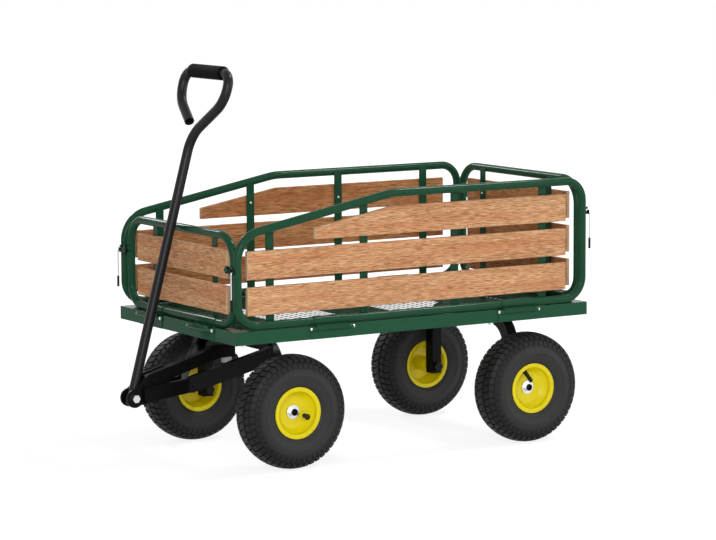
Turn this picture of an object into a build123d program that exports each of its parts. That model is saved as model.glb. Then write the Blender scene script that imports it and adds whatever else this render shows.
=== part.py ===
from build123d import *
import os
from math import cos, hypot, radians, sin

os.makedirs("parts", exist_ok=True)

# A hand-pulled garden wagon, in millimetres. +X points forward, +Y to its left, +Z up.
# The wheels stand on the plane Z = 0, and the origin is the middle of the wagon's footprint.
# Distances called "fore" are measured forward from the middle of the deck.

# Deck tray: pressed sheet with turned-down edges, a rim, an inward return and cross members
deck_length = 953.0
deck_width = 546.0
deck_top = 326.0
deck_edge = 30.0
deck_sheet = 2.0
deck_rim = 30.0
deck_return = 18.0
member_width = 40.0
front_member_lead = 3.5
middle_member_fore = -3.5
rear_member_lead = 6.5

# Mesh floor of stretched diamonds, laid under the rim
mesh_sheet = 2.0
mesh_under_rim = 12.0
mesh_long_count = 12
mesh_short_count = 11
mesh_strand = 5.5

# Panel frames: bent round tube, with flat straps welded on the inside
tube_d = 19.0
tube_wall = 1.5
side_inset = 8.0
front_inset = 14.5
rear_inset = 6.5
side_end_gap = 9.5
end_side_gap = 22.0
side_top = 613.0
front_top = 535.0
slope_length = 405.0
side_front_corner = 536.0
low_bend = 50.0
rear_bend = 46.0
front_bend = 68.0
slope_bend = 160.0
end_bend = 58.0
strap_width = 20.0
strap_sheet = 3.0
weld_bite = 1.0
side_strap_count = 4
strap_front_gap = 88.0
strap_rear_gap = 108.0
end_strap_gap = 104.0

# Wooden slats, screwed to the outside of the straps
slat_sheet = 10.0
slat_height = 63.5
slat_pitch = 80.3
slat_first = 33.0
slat_ease = 1.2
slat_front_gap = 25.0
slat_rear_gap = 47.0
end_slat_gap = 33.0
top_slat_gap = 200.5
top_slat_nose = 26.0
top_slat_slope = 207.0

# Panel hinges: a leaf rolled onto the bottom tube, turning on a pin along the deck edge
hinge_length = 108.0
hinge_ear = 10.0
hinge_play = 0.5
hinge_sheet = 2.0
hinge_pin_d = 6.0
hinge_pin_over = 2.5
knuckle_d = 10.0
pin_out = 5.5
pin_drop = 6.0
riser_in = 0.5
leaf_wrap_from = -50.0
leaf_wrap_to = 128.0
hinge_front_gap = 236.0
hinge_rear_gap = 190.0
end_hinge_gap = 122.0
rest_gap = 0.3
shelf_gap = 0.6
pin_fit = 0.05

# Corner latches: a notched lever on each end panel, lifted under a peg on the side panel
latch_drop = 72.0
latch_in = 3.0
boss_d = 13.0
front_boss_stand = 5.5
rear_boss_stand = 0.5
latch_sheet = 4.0
latch_play = 0.3
latch_bolt_d = 6.0
latch_dome_d = 13.0
latch_dome_rise = 4.5
latch_eye_d = 17.0
peg_d = 6.0
peg_in = 4.0
peg_up = 6.0
peg_clear = 0.7
peg_over = 0.7
lever_reach = 31.0
lever_top = 1.9
lever_depth = 8.0
rod_d = 3.0
rod_bend = 2.5
rod_out = 27.5
rod_eye_up = -4.6
rod_stand = 3.0
rod_drop = 60.0
tip_d = 5.5
tip_length = 25.0

# Wheels: ten-inch pneumatic tyres on dished steel rims
wheel_d = 260.0
track = 454.0
front_axle_in = 166.0
rear_axle_in = 145.0
tyre_section = 85.0
tread_width = 58.0
tread_drop = 5.0
tyre_wall = 8.0
bead_width = 9.0
groove_width = 4.0
groove_depth = 4.0
groove_half_span = 13.0
rim_d = 118.0
rim_width = 68.0
rim_seat_d = 100.0
rim_well_d = 88.0
rim_sheet = 2.5
dish_depth = 28.0
dish_lip = 4.0
hub_d = 35.0
hub_inner = 38.0
hub_outer = 8.0
bead_gap = 0.2
valve_seat = 4.0
valve_d = 9.0
valve_root = 5.0
valve_length = 27.0
valve_angles = {"front": -158.0, "rear": 75.0}

# Axles: arched rectangular tube, with a spindle bolt through the foot of each leg
axle_fore_aft = 25.0
axle_depth = 30.0
axle_wall = 2.5
leg_tyre_gap = 4.5
leg_foot = 113.0
axle_bend = 62.0
spindle_d = 16.0
spindle_fit = 0.05
spindle_head_d = 24.0
spindle_head = 9.0
washer_d = 32.0
washer_sheet = 2.5
nut_d = 22.0
nut_height = 6.0
spindle_over = 1.0
spindle_recess_d = 12.0
spindle_recess = 5.0
hub_play = 0.3

# Steering: plates turning on a kingpin ahead of the front axle
kingpin_lead = 36.5
kingpin_d = 16.0
kingpin_fit = 0.05
kingpin_head_d = 24.0
kingpin_head = 10.0
kingpin_nut_d = 27.0
kingpin_nut = 12.0
kingpin_sleeve_d = 24.0
pivot_plate_length = 120.0
pivot_plate_width = 130.0
pivot_plate_sheet = 4.0
turn_gap = 0.3
steer_plate_sheet = 5.0
steer_plate_nose = 42.0
steer_plate_half_width = 60.0
steer_plate_tail = 16.0

# Tongue, draw braces and the cheeks that carry the handle
tongue_width = 24.0
tongue_depth = 27.0
tongue_wall = 2.5
tongue_tail = 17.0
tongue_flat = 24.0
tongue_front_back = 36.0
tongue_front_height = 190.0
tongue_bend = 60.0
cheek_sheet = 5.0
cheek_d = 42.0
cheek_rear_back = 89.0
cheek_margin = 3.0
cheek_heel_angle = -120.0
cheek_brow_angle = 74.0
brace_sheet = 10.0
brace_depth = 33.0
brace_front_back = 19.0
brace_front_height = 160.0
brace_bend_back = 135.0
brace_bend_height = 175.0
brace_end_height = 252.0
tongue_bolt_backs = (47.0, 73.0)
tongue_bolt_d = 8.0
bolt_head_d = 13.0
bolt_head = 5.5
handle_pivot_ahead = 116.5
handle_pivot_height = 155.0
handle_bolt_d = 10.0
handle_bolt_head_d = 19.0
handle_bolt_head = 7.0
bolt_fit = 0.05

# Handle: one bent tube with a D-shaped loop, open beside the shaft, and a sleeve grip
handle_d = 22.5
handle_wall = 2.0
handle_lean = 15.25
handle_toe = 15.0
handle_length = 757.0
loop_half_width = 102.5
loop_shift = 12.0
loop_shoulder = 65.0
loop_split = 149.0
loop_end_gap = 22.0
loop_end_drop = 117.0
split_bend = 73.0
shoulder_bend = 64.0
grip_bend = 30.0
grip_d = 32.0
grip_gap = 0.1
grip_round = 4.0

# Bolts through the return of the deck edge
deck_bolt_front_in = 24.5
deck_bolt_rear_lead = 122.5
deck_bolt_d = 8.0
deck_bolt_inset = 11.0

# Derived sizes, shared by the pieces that meet
wheel_r = wheel_d / 2
tube_r = tube_d / 2
half_length = deck_length / 2
half_width = deck_width / 2
edge_bottom = deck_top - deck_edge
floor_top = deck_top - deck_sheet
member_top = floor_top - mesh_sheet
side_y = half_width - side_inset
end_fores = {1: half_length - front_inset, -1: half_length - rear_inset}
side_half_length = half_length - side_end_gap
end_half_width = side_y - end_side_gap
slope_start_fore = side_half_length - slope_length
strap_front_fore = side_half_length - strap_front_gap
strap_rear_fore = strap_rear_gap - side_half_length
end_strap_half_span = end_half_width - end_strap_gap
side_slat_front = side_half_length - slat_front_gap
side_slat_rear = slat_rear_gap - side_half_length
end_slat_half = end_half_width - end_slat_gap
top_slat_front = side_half_length - top_slat_gap
top_slat_full = top_slat_front - top_slat_slope
side_hinge_fores = (side_half_length - hinge_front_gap, hinge_rear_gap - side_half_length)
end_hinge_half_span = end_half_width - end_hinge_gap
tube_low = deck_top + rest_gap + tube_r
pin_height = deck_top - pin_drop
strap_face = tube_r - weld_bite
leaf_turn = hinge_length - 2 * hinge_ear - 2 * hinge_play
latch_pivot_half = end_half_width - latch_in
peg_out = side_y - peg_in - latch_pivot_half
latch_dome_r = (latch_dome_d ** 2 / 4 + latch_dome_rise ** 2) / (2 * latch_dome_rise)
boss_tops = {1: tube_r + front_boss_stand, -1: tube_r + rear_boss_stand}
lever_backs = {end: end_fores[end] + boss_tops[end] + latch_play for end in (1, -1)}
lever_fronts = {end: lever_backs[end] + latch_sheet for end in (1, -1)}
rod_fores = {end: lever_fronts[end] + rod_stand for end in (1, -1)}
rear_reach = rod_fores[-1] + tip_d / 2
front_axle_fore = half_length - front_axle_in
rear_axle_fore = rear_axle_in - half_length
kingpin_fore = front_axle_fore + kingpin_lead
handle_pivot_fore = half_length + handle_pivot_ahead
tongue_front_fore = handle_pivot_fore - tongue_front_back
cheek_rear_fore = handle_pivot_fore - cheek_rear_back
brace_front_fore = handle_pivot_fore - brace_front_back
brace_bend_fore = handle_pivot_fore - brace_bend_back
tongue_bolt_fores = [handle_pivot_fore - back for back in tongue_bolt_backs]
member_fores = (front_axle_fore + front_member_lead, middle_member_fore, rear_axle_fore + rear_member_lead)
deck_bolt_fores = (half_length - deck_bolt_front_in, rear_axle_fore + deck_bolt_rear_lead)
front_reach = handle_pivot_fore + cheek_d / 2
deck_mid = (rear_reach - front_reach) / 2
wheel_half_track = track / 2
leg_half_span = wheel_half_track - tyre_section / 2 - leg_tyre_gap - axle_depth / 2
steer_plate_top = edge_bottom - pivot_plate_sheet - turn_gap
front_beam_top = steer_plate_top - steer_plate_sheet
tongue_top = front_beam_top - axle_depth
cheek_inner = tongue_width / 2
cheek_outer = cheek_inner + cheek_sheet
brace_outer = cheek_outer + brace_sheet
rail_slope = (side_top - side_front_corner) / slope_length


def fore(distance):
    """The X of a place given as a distance forward of the deck's middle."""
    return deck_mid + distance


def keep(piece, node):
    """Label a finished piece and write it under its node's name."""
    piece.part.label = node
    export_step(piece.part, f"parts/{node}.step")


def rail_height(distance):
    """Height of a side panel's top tube, which is level at the rear and falls to the front."""
    return side_top - max(0.0, distance - slope_start_fore) * rail_slope


def upright(x, y):
    """A plane along the wagon's length, with first axis forward and second up."""
    return Plane(origin=(x, y, 0), x_dir=(1, 0, 0), z_dir=(0, -1, 0))


def across(x):
    """A plane square to the wagon's length, with first axis to the left and second up."""
    return Plane(origin=(x, 0, 0), x_dir=(0, 1, 0), z_dir=(1, 0, 0))


def hinge_plane(place, out):
    """The section plane of a hinge at its pin: first axis outboard, second up."""
    outward = Vector(*out)
    return Plane(origin=place, x_dir=outward, z_dir=outward.cross(Vector(0, 0, 1)))


def bent_tube(path, outside, wall):
    """The ring section of a tube, standing square to the start of its centre line."""
    start = Plane(origin=path @ 0, z_dir=path % 0)
    with BuildSketch(start) as ring:
        Circle(outside / 2)
        Circle(outside / 2 - wall, mode=Mode.SUBTRACT)
    return ring.sketch


def moving_leaf(place, out, tube_back):
    """A hinge leaf rolled over the panel's bottom tube, down to its knuckle on the pin."""
    shelf = pin_drop + shelf_gap
    tube_up = tube_low - pin_height
    riser_out = knuckle_d / 2 - riser_in
    with BuildPart() as leaf:
        with BuildSketch(hinge_plane(place, out).offset(-leaf_turn / 2)):
            Circle(knuckle_d / 2)
            with Locations((riser_out - hinge_sheet / 2, (shelf + hinge_sheet) / 2)):
                Rectangle(hinge_sheet, shelf + hinge_sheet)
            with Locations(((riser_out - tube_back) / 2, shelf + hinge_sheet / 2)):
                Rectangle(riser_out + tube_back, hinge_sheet)
            with BuildLine():
                CenterArc((-tube_back, tube_up), tube_r + hinge_sheet / 2 - weld_bite / 2,
                          leaf_wrap_from, leaf_wrap_to - leaf_wrap_from)
            trace(line_width=hinge_sheet + weld_bite)
            Circle(hinge_pin_d / 2 + pin_fit, mode=Mode.SUBTRACT)
        extrude(amount=leaf_turn)
    return leaf.part


# Deck tray: edge, rim and return are one pressing, with the channels welded across
with BuildPart() as deck:
    with BuildSketch(Plane.XY.offset(edge_bottom)):
        with Locations((deck_mid, 0)):
            Rectangle(deck_length, deck_width)
            Rectangle(deck_length - 2 * deck_sheet, deck_width - 2 * deck_sheet, mode=Mode.SUBTRACT)
    extrude(amount=deck_edge)
    for level, width in ((floor_top, deck_rim), (edge_bottom, deck_return)):
        with BuildSketch(Plane.XY.offset(level)):
            with Locations((deck_mid, 0)):
                Rectangle(deck_length, deck_width)
                Rectangle(deck_length - 2 * width, deck_width - 2 * width, mode=Mode.SUBTRACT)
        extrude(amount=deck_sheet)
    for place in member_fores:
        with BuildSketch(Plane(origin=(fore(place), 0, 0), x_dir=(1, 0, 0), z_dir=(0, -1, 0))):
            with Locations((0, (member_top + edge_bottom) / 2)):
                Rectangle(member_width, member_top - edge_bottom)
            with Locations((0, (member_top + edge_bottom) / 2 - deck_sheet)):
                Rectangle(member_width - 2 * deck_sheet, member_top - edge_bottom, mode=Mode.SUBTRACT)
        extrude(amount=half_width - deck_sheet / 2, both=True)
    with BuildSketch(Plane.XY.offset(edge_bottom)):
        for place in deck_bolt_fores:
            for side in (1, -1):
                with Locations((fore(place), side * (half_width - deck_bolt_inset))):
                    Circle(deck_bolt_d / 2 + bolt_fit)
    extrude(amount=deck_sheet, mode=Mode.SUBTRACT)
keep(deck, "deck_tray")

# Mesh floor: two interleaved grids of diamond gaps in one sheet, cut off square at the rim
open_length = deck_length - 2 * deck_rim
open_width = deck_width - 2 * deck_rim
mesh_pitch_long = open_length / mesh_long_count
mesh_pitch_short = open_width / mesh_short_count
half_long = mesh_pitch_long / 2
half_short = mesh_pitch_short / 2
strand_share = mesh_strand / 2 * hypot(half_long, half_short) / (half_long * half_short)
gap_long = half_long * (1 - strand_share)
gap_short = half_short * (1 - strand_share)
with BuildSketch(Plane((deck_mid, 0, member_top))) as gaps:
    for extra in (0, 1):
        counts = (mesh_long_count + extra, mesh_short_count + extra)
        with GridLocations(mesh_pitch_long, mesh_pitch_short, *counts):
            Polygon((gap_long, 0), (0, gap_short), (-gap_long, 0), (0, -gap_short), align=None)
    Rectangle(open_length - mesh_strand, open_width - mesh_strand, mode=Mode.INTERSECT)
with BuildPart() as mesh:
    with BuildSketch(Plane((deck_mid, 0, member_top))):
        Rectangle(open_length + 2 * mesh_under_rim, open_width + 2 * mesh_under_rim)
    extrude(amount=mesh_sheet)
    extrude(gaps.sketch, amount=mesh_sheet, mode=Mode.SUBTRACT)
keep(mesh, "deck_mesh")

# Bolts through the deck's return, with their heads showing under the edge
with BuildPart() as deck_bolts:
    for place in deck_bolt_fores:
        for side in (1, -1):
            spot = (fore(place), side * (half_width - deck_bolt_inset))
            with BuildSketch(Plane((spot[0], spot[1], edge_bottom - bolt_head))):
                RegularPolygon(bolt_head_d / 2, 6)
            extrude(amount=bolt_head)
            with BuildSketch(Plane((spot[0], spot[1], edge_bottom))):
                Circle(deck_bolt_d / 2)
            extrude(amount=deck_sheet + bolt_head)
keep(deck_bolts, "deck_bolts")


def fixed_leaf(place, out):
    """A hinge leaf on the deck's edge, with an ear round the pin at each end."""
    plate_top = -(knuckle_d / 2 + hinge_play)
    plate_low = edge_bottom - pin_height
    section = hinge_plane(place, out)
    with BuildPart() as leaf:
        with BuildSketch(section.offset(-hinge_length / 2)):
            with Locations((hinge_sheet / 2 - pin_out, (plate_top + plate_low) / 2)):
                Rectangle(hinge_sheet, plate_top - plate_low)
        extrude(amount=hinge_length)
        for start in (-hinge_length / 2, hinge_length / 2 - hinge_ear):
            with BuildSketch(section.offset(start)):
                Circle(knuckle_d / 2)
                with Locations((-pin_out / 2, plate_top / 2)):
                    Rectangle(pin_out, -plate_top)
                Circle(hinge_pin_d / 2 + pin_fit, mode=Mode.SUBTRACT)
            extrude(amount=hinge_ear)
    return leaf.part


# Where every hinge stands: the middle of its pin and the way it faces
hinge_spots = []
for side in (1, -1):
    for place in side_hinge_fores:
        hinge_spots.append(((fore(place), side * (half_width + pin_out), pin_height), (0, side, 0)))
for end in (1, -1):
    for side in (1, -1):
        spot = (fore(end * (half_length + pin_out)), side * end_hinge_half_span, pin_height)
        hinge_spots.append((spot, (end, 0, 0)))

with BuildPart() as hinge_leaves:
    for place, out in hinge_spots:
        add(fixed_leaf(place, out))
keep(hinge_leaves, "hinge_leaves")

pin_length = hinge_length + 2 * hinge_pin_over
with BuildPart() as hinge_pins:
    for place, out in hinge_spots:
        with BuildSketch(hinge_plane(place, out).offset(-pin_length / 2)):
            Circle(hinge_pin_d / 2)
        extrude(amount=pin_length)
keep(hinge_pins, "hinge_pins")


def slat_heights(row):
    """The lower and upper edge of a slat, counted up from the lowest row."""
    low = deck_top + slat_first + row * slat_pitch
    return low, low + slat_height


# Side panels: a tube loop with a falling front, four straps, two hinge leaves and two latch pegs
strap_spacing = (strap_front_fore - strap_rear_fore) / (side_strap_count - 1)
for side, name in ((1, "left"), (-1, "right")):
    panel = upright(deck_mid, side * side_y)
    with BuildPart() as frame:
        with BuildLine(panel) as loop:
            FilletPolyline(
                (-side_half_length, tube_low), (-side_half_length, side_top), (slope_start_fore, side_top),
                (side_half_length, side_front_corner), (side_half_length, tube_low),
                radius=[low_bend, rear_bend, slope_bend, front_bend, low_bend], close=True)
        sweep(bent_tube(loop.line, tube_d, tube_wall), path=loop.line)
        for place in side_hinge_fores:
            spot = (fore(place), side * (half_width + pin_out), pin_height)
            add(moving_leaf(spot, (0, side, 0), side_inset + pin_out))
        for end, end_top in ((1, front_top), (-1, side_top)):
            peg_y = side * (side_y - peg_in)
            with BuildSketch(across(fore(end * side_half_length))):
                with Locations((peg_y, end_top - latch_drop + peg_up)):
                    Circle(peg_d / 2)
            peg_length = lever_fronts[end] + peg_over - side_half_length
            extrude(amount=peg_length, dir=(end, 0, 0))
    keep(frame, f"{name}_panel_frame")

    slat_plane = upright(deck_mid, side * (side_y - strap_face))
    with BuildPart() as straps:
        for number in range(side_strap_count):
            place = strap_front_fore - number * strap_spacing
            top = rail_height(place)
            with BuildSketch(slat_plane):
                with Locations((place, (tube_low + top) / 2)):
                    Rectangle(strap_width, top - tube_low)
            extrude(amount=strap_sheet, dir=(0, -side, 0))
        add(frame.part, mode=Mode.SUBTRACT)
    keep(straps, f"{name}_panel_straps")

    for row, rank in enumerate(("lower", "middle", "top")):
        low, high = slat_heights(row)
        with BuildPart() as slat:
            with BuildSketch(slat_plane):
                if rank == "top":
                    Polygon((top_slat_front, low), (top_slat_front, low + top_slat_nose),
                            (top_slat_full, high), (side_slat_rear, high), (side_slat_rear, low), align=None)
                else:
                    with Locations(((side_slat_front + side_slat_rear) / 2, (low + high) / 2)):
                        Rectangle(side_slat_front - side_slat_rear, slat_height)
            extrude(amount=slat_sheet, dir=(0, side, 0))
            chamfer(slat.faces().sort_by(Axis.Y)[-1 if side > 0 else 0].edges(), slat_ease)
        keep(slat, f"{name}_slat_{rank}")


# End panels: a rounded tube loop, two straps, two hinge leaves and the latch bosses
for end, name, top, rows in ((1, "front", front_top, 2), (-1, "rear", side_top, 3)):
    end_fore = end_fores[end]
    panel = across(fore(end * end_fore))
    latch_height = top - latch_drop
    with BuildPart() as frame:
        with BuildLine(panel) as loop:
            FilletPolyline((end_half_width, tube_low), (end_half_width, top), (-end_half_width, top),
                           (-end_half_width, tube_low), radius=[low_bend, end_bend, end_bend, low_bend],
                           close=True)
        sweep(bent_tube(loop.line, tube_d, tube_wall), path=loop.line)
        strap_plane = across(fore(end * (end_fore - strap_face)))
        for side in (1, -1):
            with BuildSketch(strap_plane):
                with Locations((side * end_strap_half_span, (tube_low + top) / 2)):
                    Rectangle(strap_width, top - tube_low)
            extrude(amount=strap_sheet, dir=(-end, 0, 0))
            spot = (fore(end * (half_length + pin_out)), side * end_hinge_half_span, pin_height)
            add(moving_leaf(spot, (end, 0, 0), half_length + pin_out - end_fore))
            with BuildSketch(panel):
                with Locations((side * latch_pivot_half, latch_height)):
                    Circle(boss_d / 2)
            extrude(amount=boss_tops[end], dir=(end, 0, 0))
        with BuildSketch(panel):
            with Locations((latch_pivot_half, latch_height), (-latch_pivot_half, latch_height)):
                Circle(latch_bolt_d / 2 + bolt_fit)
        extrude(amount=boss_tops[end], dir=(end, 0, 0), mode=Mode.SUBTRACT)
    keep(frame, f"{name}_panel_frame")

    slat_plane = across(fore(end * (end_fore - strap_face)))
    for row, rank in enumerate(("lower", "middle", "top")[:rows]):
        low, high = slat_heights(row)
        with BuildPart() as slat:
            with BuildSketch(slat_plane):
                with Locations((0, (low + high) / 2)):
                    Rectangle(2 * end_slat_half, slat_height)
            extrude(amount=slat_sheet, dir=(end, 0, 0))
            chamfer(slat.faces().sort_by(Axis.X)[-1 if end > 0 else 0].edges(), slat_ease)
        keep(slat, f"{name}_slat_{rank}")

    with BuildPart() as latch_bolts:
        for side in (1, -1):
            with BuildSketch(panel):
                with Locations((side * latch_pivot_half, latch_height)):
                    Circle(latch_bolt_d / 2)
            extrude(amount=lever_fronts[end] + latch_play - end_fore, dir=(end, 0, 0))
            dome_fore = end * (lever_fronts[end] + latch_play)
            dome_spot = (fore(dome_fore), side * latch_pivot_half, latch_height)
            dome_plane = Plane(origin=dome_spot, x_dir=(end, 0, 0), z_dir=(0, -end, 0))
            with BuildSketch(dome_plane):
                with BuildLine():
                    Polyline((latch_dome_rise, 0), (0, 0), (0, latch_dome_d / 2))
                    RadiusArc((0, latch_dome_d / 2), (latch_dome_rise, 0), latch_dome_r)
                make_face()
            revolve(axis=Axis(dome_plane.origin, (end, 0, 0)))
    keep(latch_bolts, f"{name}_latch_bolts")

    # Latch levers: a notched arm on the pivot bolt, with a hanging pull rod
    for side, hand in ((1, "left"), (-1, "right")):
        lever_spot = (fore(end * lever_backs[end]), side * latch_pivot_half, latch_height)
        lever_plane = Plane(origin=lever_spot, x_dir=(0, side, 0), z_dir=(side, 0, 0))
        notch_out = hypot(peg_out, peg_up)
        notch_width = peg_d + 2 * peg_clear
        with BuildPart() as lever:
            with BuildSketch(lever_plane):
                Circle(latch_eye_d / 2)
                with Locations((lever_reach / 2, (lever_top - lever_depth) / 2)):
                    Rectangle(lever_reach, lever_top + lever_depth)
                with Locations((notch_out, 0)):
                    Circle(notch_width / 2, mode=Mode.SUBTRACT)
                with Locations((notch_out, lever_depth / 2)):
                    Rectangle(notch_width, lever_depth, mode=Mode.SUBTRACT)
                Circle(latch_bolt_d / 2 + bolt_fit, mode=Mode.SUBTRACT)
                with Locations((rod_out, rod_eye_up)):
                    Circle(rod_d / 2 + bolt_fit, mode=Mode.SUBTRACT)
            extrude(amount=latch_sheet, dir=(end, 0, 0))
        keep(lever, f"{name}_{hand}_latch_lever")

        rod_x = fore(end * rod_fores[end])
        rod_y = side * (latch_pivot_half + rod_out)
        rod_top = latch_height + rod_eye_up
        with BuildPart() as rod:
            with BuildLine() as wire:
                FilletPolyline((fore(end * lever_backs[end]), rod_y, rod_top), (rod_x, rod_y, rod_top),
                               (rod_x, rod_y, rod_top - rod_drop), radius=rod_bend)
            with BuildSketch(Plane(origin=wire.line @ 0, z_dir=wire.line % 0)):
                Circle(rod_d / 2)
            sweep(path=wire.line)
            with BuildSketch(Plane((rod_x, rod_y, rod_top - rod_drop))):
                Circle(tip_d / 2)
            extrude(amount=-tip_length)
        keep(rod, f"{name}_{hand}_latch_rod")


# Wheels: tyre, rim with welded hub, and valve
rim_edge = rim_width / 2
hub_face = rim_edge - dish_depth
rim_flange_r = rim_d / 2
seat_r = rim_seat_d / 2
well_r = rim_well_d / 2
hub_r = hub_d / 2
bore_r = spindle_d / 2 + spindle_fit
bead_r = seat_r + bead_gap
bead_edge = rim_edge - rim_sheet - bead_gap
shoulder = tread_width / 2
shoulder_r = wheel_r - tread_drop
belly_r = (shoulder_r + rim_flange_r) / 2
belly = tyre_section / 2
floor_edge = hub_face + rim_sheet
floor_r = well_r - rim_sheet - dish_lip
wall_edge = rim_edge - bead_width - rim_sheet
wall_r = seat_r - rim_sheet
dish_wall = hypot(wall_edge - floor_edge, wall_r - floor_r)
wall_fall = (wall_edge - floor_edge) / dish_wall
wall_spread = (wall_r - floor_r) / dish_wall
for place, end in ((front_axle_fore, "front"), (rear_axle_fore, "rear")):
    for side, hand in ((1, "left"), (-1, "right")):
        centre = (fore(place), side * wheel_half_track, wheel_r)
        wheel = Plane(origin=centre, x_dir=(0, side, 0), z_dir=(side, 0, 0))
        spin = Axis(centre, (0, 1, 0))
        turn = radians(valve_angles[end])
        reach = Vector(cos(turn), 0, sin(turn))
        outward = Vector(0, side, 0)
        spot = Vector(*centre) + outward * (floor_edge + valve_seat * wall_fall) + reach * (
            floor_r + valve_seat * wall_spread)
        stem = Plane(origin=spot, x_dir=reach.cross(outward), z_dir=outward * wall_spread - reach * wall_fall)
        with BuildPart() as tyre:
            with BuildSketch(wheel):
                with BuildLine():
                    for hand_side in (1, -1):
                        outer_wall = ThreePointArc((hand_side * bead_edge, rim_flange_r + bead_gap),
                                                   (hand_side * belly, belly_r),
                                                   (hand_side * shoulder, shoulder_r))
                        Line((hand_side * bead_edge, bead_r), outer_wall @ 0)
                        Line((hand_side * bead_edge, bead_r), (hand_side * (bead_edge - bead_width), bead_r))
                        Polyline((hand_side * (bead_edge - bead_width), bead_r),
                                 (hand_side * (belly - tyre_wall), belly_r),
                                 (hand_side * (shoulder - tyre_wall), shoulder_r - tyre_wall))
                    ThreePointArc((-shoulder, shoulder_r), (0, wheel_r), (shoulder, shoulder_r))
                    Line((tyre_wall - shoulder, shoulder_r - tyre_wall),
                         (shoulder - tyre_wall, shoulder_r - tyre_wall))
                make_face()
                with Locations((groove_half_span, wheel_r), (-groove_half_span, wheel_r)):
                    Rectangle(groove_width, 2 * groove_depth, mode=Mode.SUBTRACT)
            revolve(axis=spin)
        keep(tyre, f"{end}_{hand}_tyre")

        with BuildPart() as rim:
            with BuildSketch(wheel):
                with BuildLine():
                    Polyline((rim_edge, rim_flange_r), (rim_edge - rim_sheet, rim_flange_r),
                             (rim_edge - rim_sheet, seat_r), (rim_edge - bead_width - rim_sheet, seat_r),
                             (dish_lip, well_r), (-dish_lip, well_r),
                             (rim_sheet + bead_width - rim_edge, seat_r), (rim_sheet - rim_edge, seat_r),
                             (rim_sheet - rim_edge, rim_flange_r), (-rim_edge, rim_flange_r),
                             (-rim_edge, seat_r - rim_sheet),
                             (rim_sheet + bead_width - rim_edge, seat_r - rim_sheet),
                             (-dish_lip, well_r - rim_sheet), (hub_face, well_r - rim_sheet),
                             (hub_face, hub_r), (-hub_inner, hub_r), (-hub_inner, bore_r),
                             (hub_outer, bore_r), (hub_outer, hub_r), (floor_edge, hub_r),
                             (floor_edge, floor_r), (wall_edge, wall_r), (rim_edge, wall_r), close=True)
                make_face()
            revolve(axis=spin)
            with BuildSketch(stem):
                Circle(valve_d / 2 + bolt_fit)
            extrude(amount=dish_wall, both=True, mode=Mode.SUBTRACT)
        keep(rim, f"{end}_{hand}_rim")

        with BuildPart() as valve:
            with BuildSketch(stem.offset(-valve_root)):
                Circle(valve_d / 2)
            extrude(amount=valve_root + valve_length)
        keep(valve, f"{end}_{hand}_valve")


def axle_arch(place, beam_top):
    """An arched axle of rectangular tube: a beam across and a leg down to each wheel."""
    centre_line = beam_top - axle_depth / 2
    with BuildPart() as axle:
        with BuildLine(across(fore(place))) as arch:
            FilletPolyline((leg_half_span, leg_foot), (leg_half_span, centre_line),
                           (-leg_half_span, centre_line), (-leg_half_span, leg_foot), radius=axle_bend)
        foot = Plane(origin=arch.line @ 0, x_dir=(1, 0, 0), z_dir=arch.line % 0)
        with BuildSketch(foot):
            Rectangle(axle_fore_aft, axle_depth)
            Rectangle(axle_fore_aft - 2 * axle_wall, axle_depth - 2 * axle_wall, mode=Mode.SUBTRACT)
        sweep(path=arch.line)
        with BuildSketch(Plane(origin=(fore(place), 0, 0), x_dir=(1, 0, 0), z_dir=(0, -1, 0))):
            with Locations((0, wheel_r)):
                Circle(spindle_d / 2 + spindle_fit)
        extrude(amount=leg_half_span + axle_depth, both=True, mode=Mode.SUBTRACT)
    return axle


def spindle_pair(place):
    """The two wheel spindles of an axle: bolt, washer and lock nut, the bolt's end bored."""
    leg_inner = leg_half_span - axle_depth / 2
    hub_end = wheel_half_track + hub_outer
    washer = hub_end + hub_play
    nut = washer + washer_sheet
    with BuildPart() as pair:
        for side in (1, -1):
            line = Plane(origin=(fore(place), 0, wheel_r), x_dir=(1, 0, 0), z_dir=(0, side, 0))
            with BuildSketch(line.offset(leg_inner - spindle_head)):
                RegularPolygon(spindle_head_d / 2, 6)
            extrude(amount=spindle_head)
            with BuildSketch(line.offset(leg_inner)):
                Circle(spindle_d / 2)
            extrude(amount=nut + nut_height + spindle_over - leg_inner)
            with BuildSketch(line.offset(washer)):
                Circle(washer_d / 2)
            extrude(amount=washer_sheet)
            with BuildSketch(line.offset(nut)):
                RegularPolygon(nut_d / 2, 6)
            extrude(amount=nut_height)
            with BuildSketch(line.offset(nut + nut_height + spindle_over)):
                Circle(spindle_recess_d / 2)
            extrude(amount=-spindle_recess, mode=Mode.SUBTRACT)
            leg_outer = leg_half_span + axle_depth / 2
            with BuildSketch(line.offset(leg_outer)):
                Circle(washer_d / 2)
                Circle(spindle_d / 2, mode=Mode.SUBTRACT)
            extrude(amount=wheel_half_track - hub_inner - hub_play - leg_outer)
    return pair


keep(axle_arch(rear_axle_fore, edge_bottom), "rear_axle")
keep(axle_arch(front_axle_fore, front_beam_top), "front_axle")
keep(spindle_pair(rear_axle_fore), "rear_spindles")
keep(spindle_pair(front_axle_fore), "front_spindles")

# Pivot plate under the front cross member, bored for the kingpin
with BuildPart() as pivot_plate:
    with BuildSketch(Plane((fore(kingpin_fore), 0, edge_bottom - pivot_plate_sheet))):
        RectangleRounded(pivot_plate_length, pivot_plate_width, kingpin_head_d / 2)
        Circle(kingpin_d / 2 + kingpin_fit, mode=Mode.SUBTRACT)
    extrude(amount=pivot_plate_sheet)
keep(pivot_plate, "pivot_plate")

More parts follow.
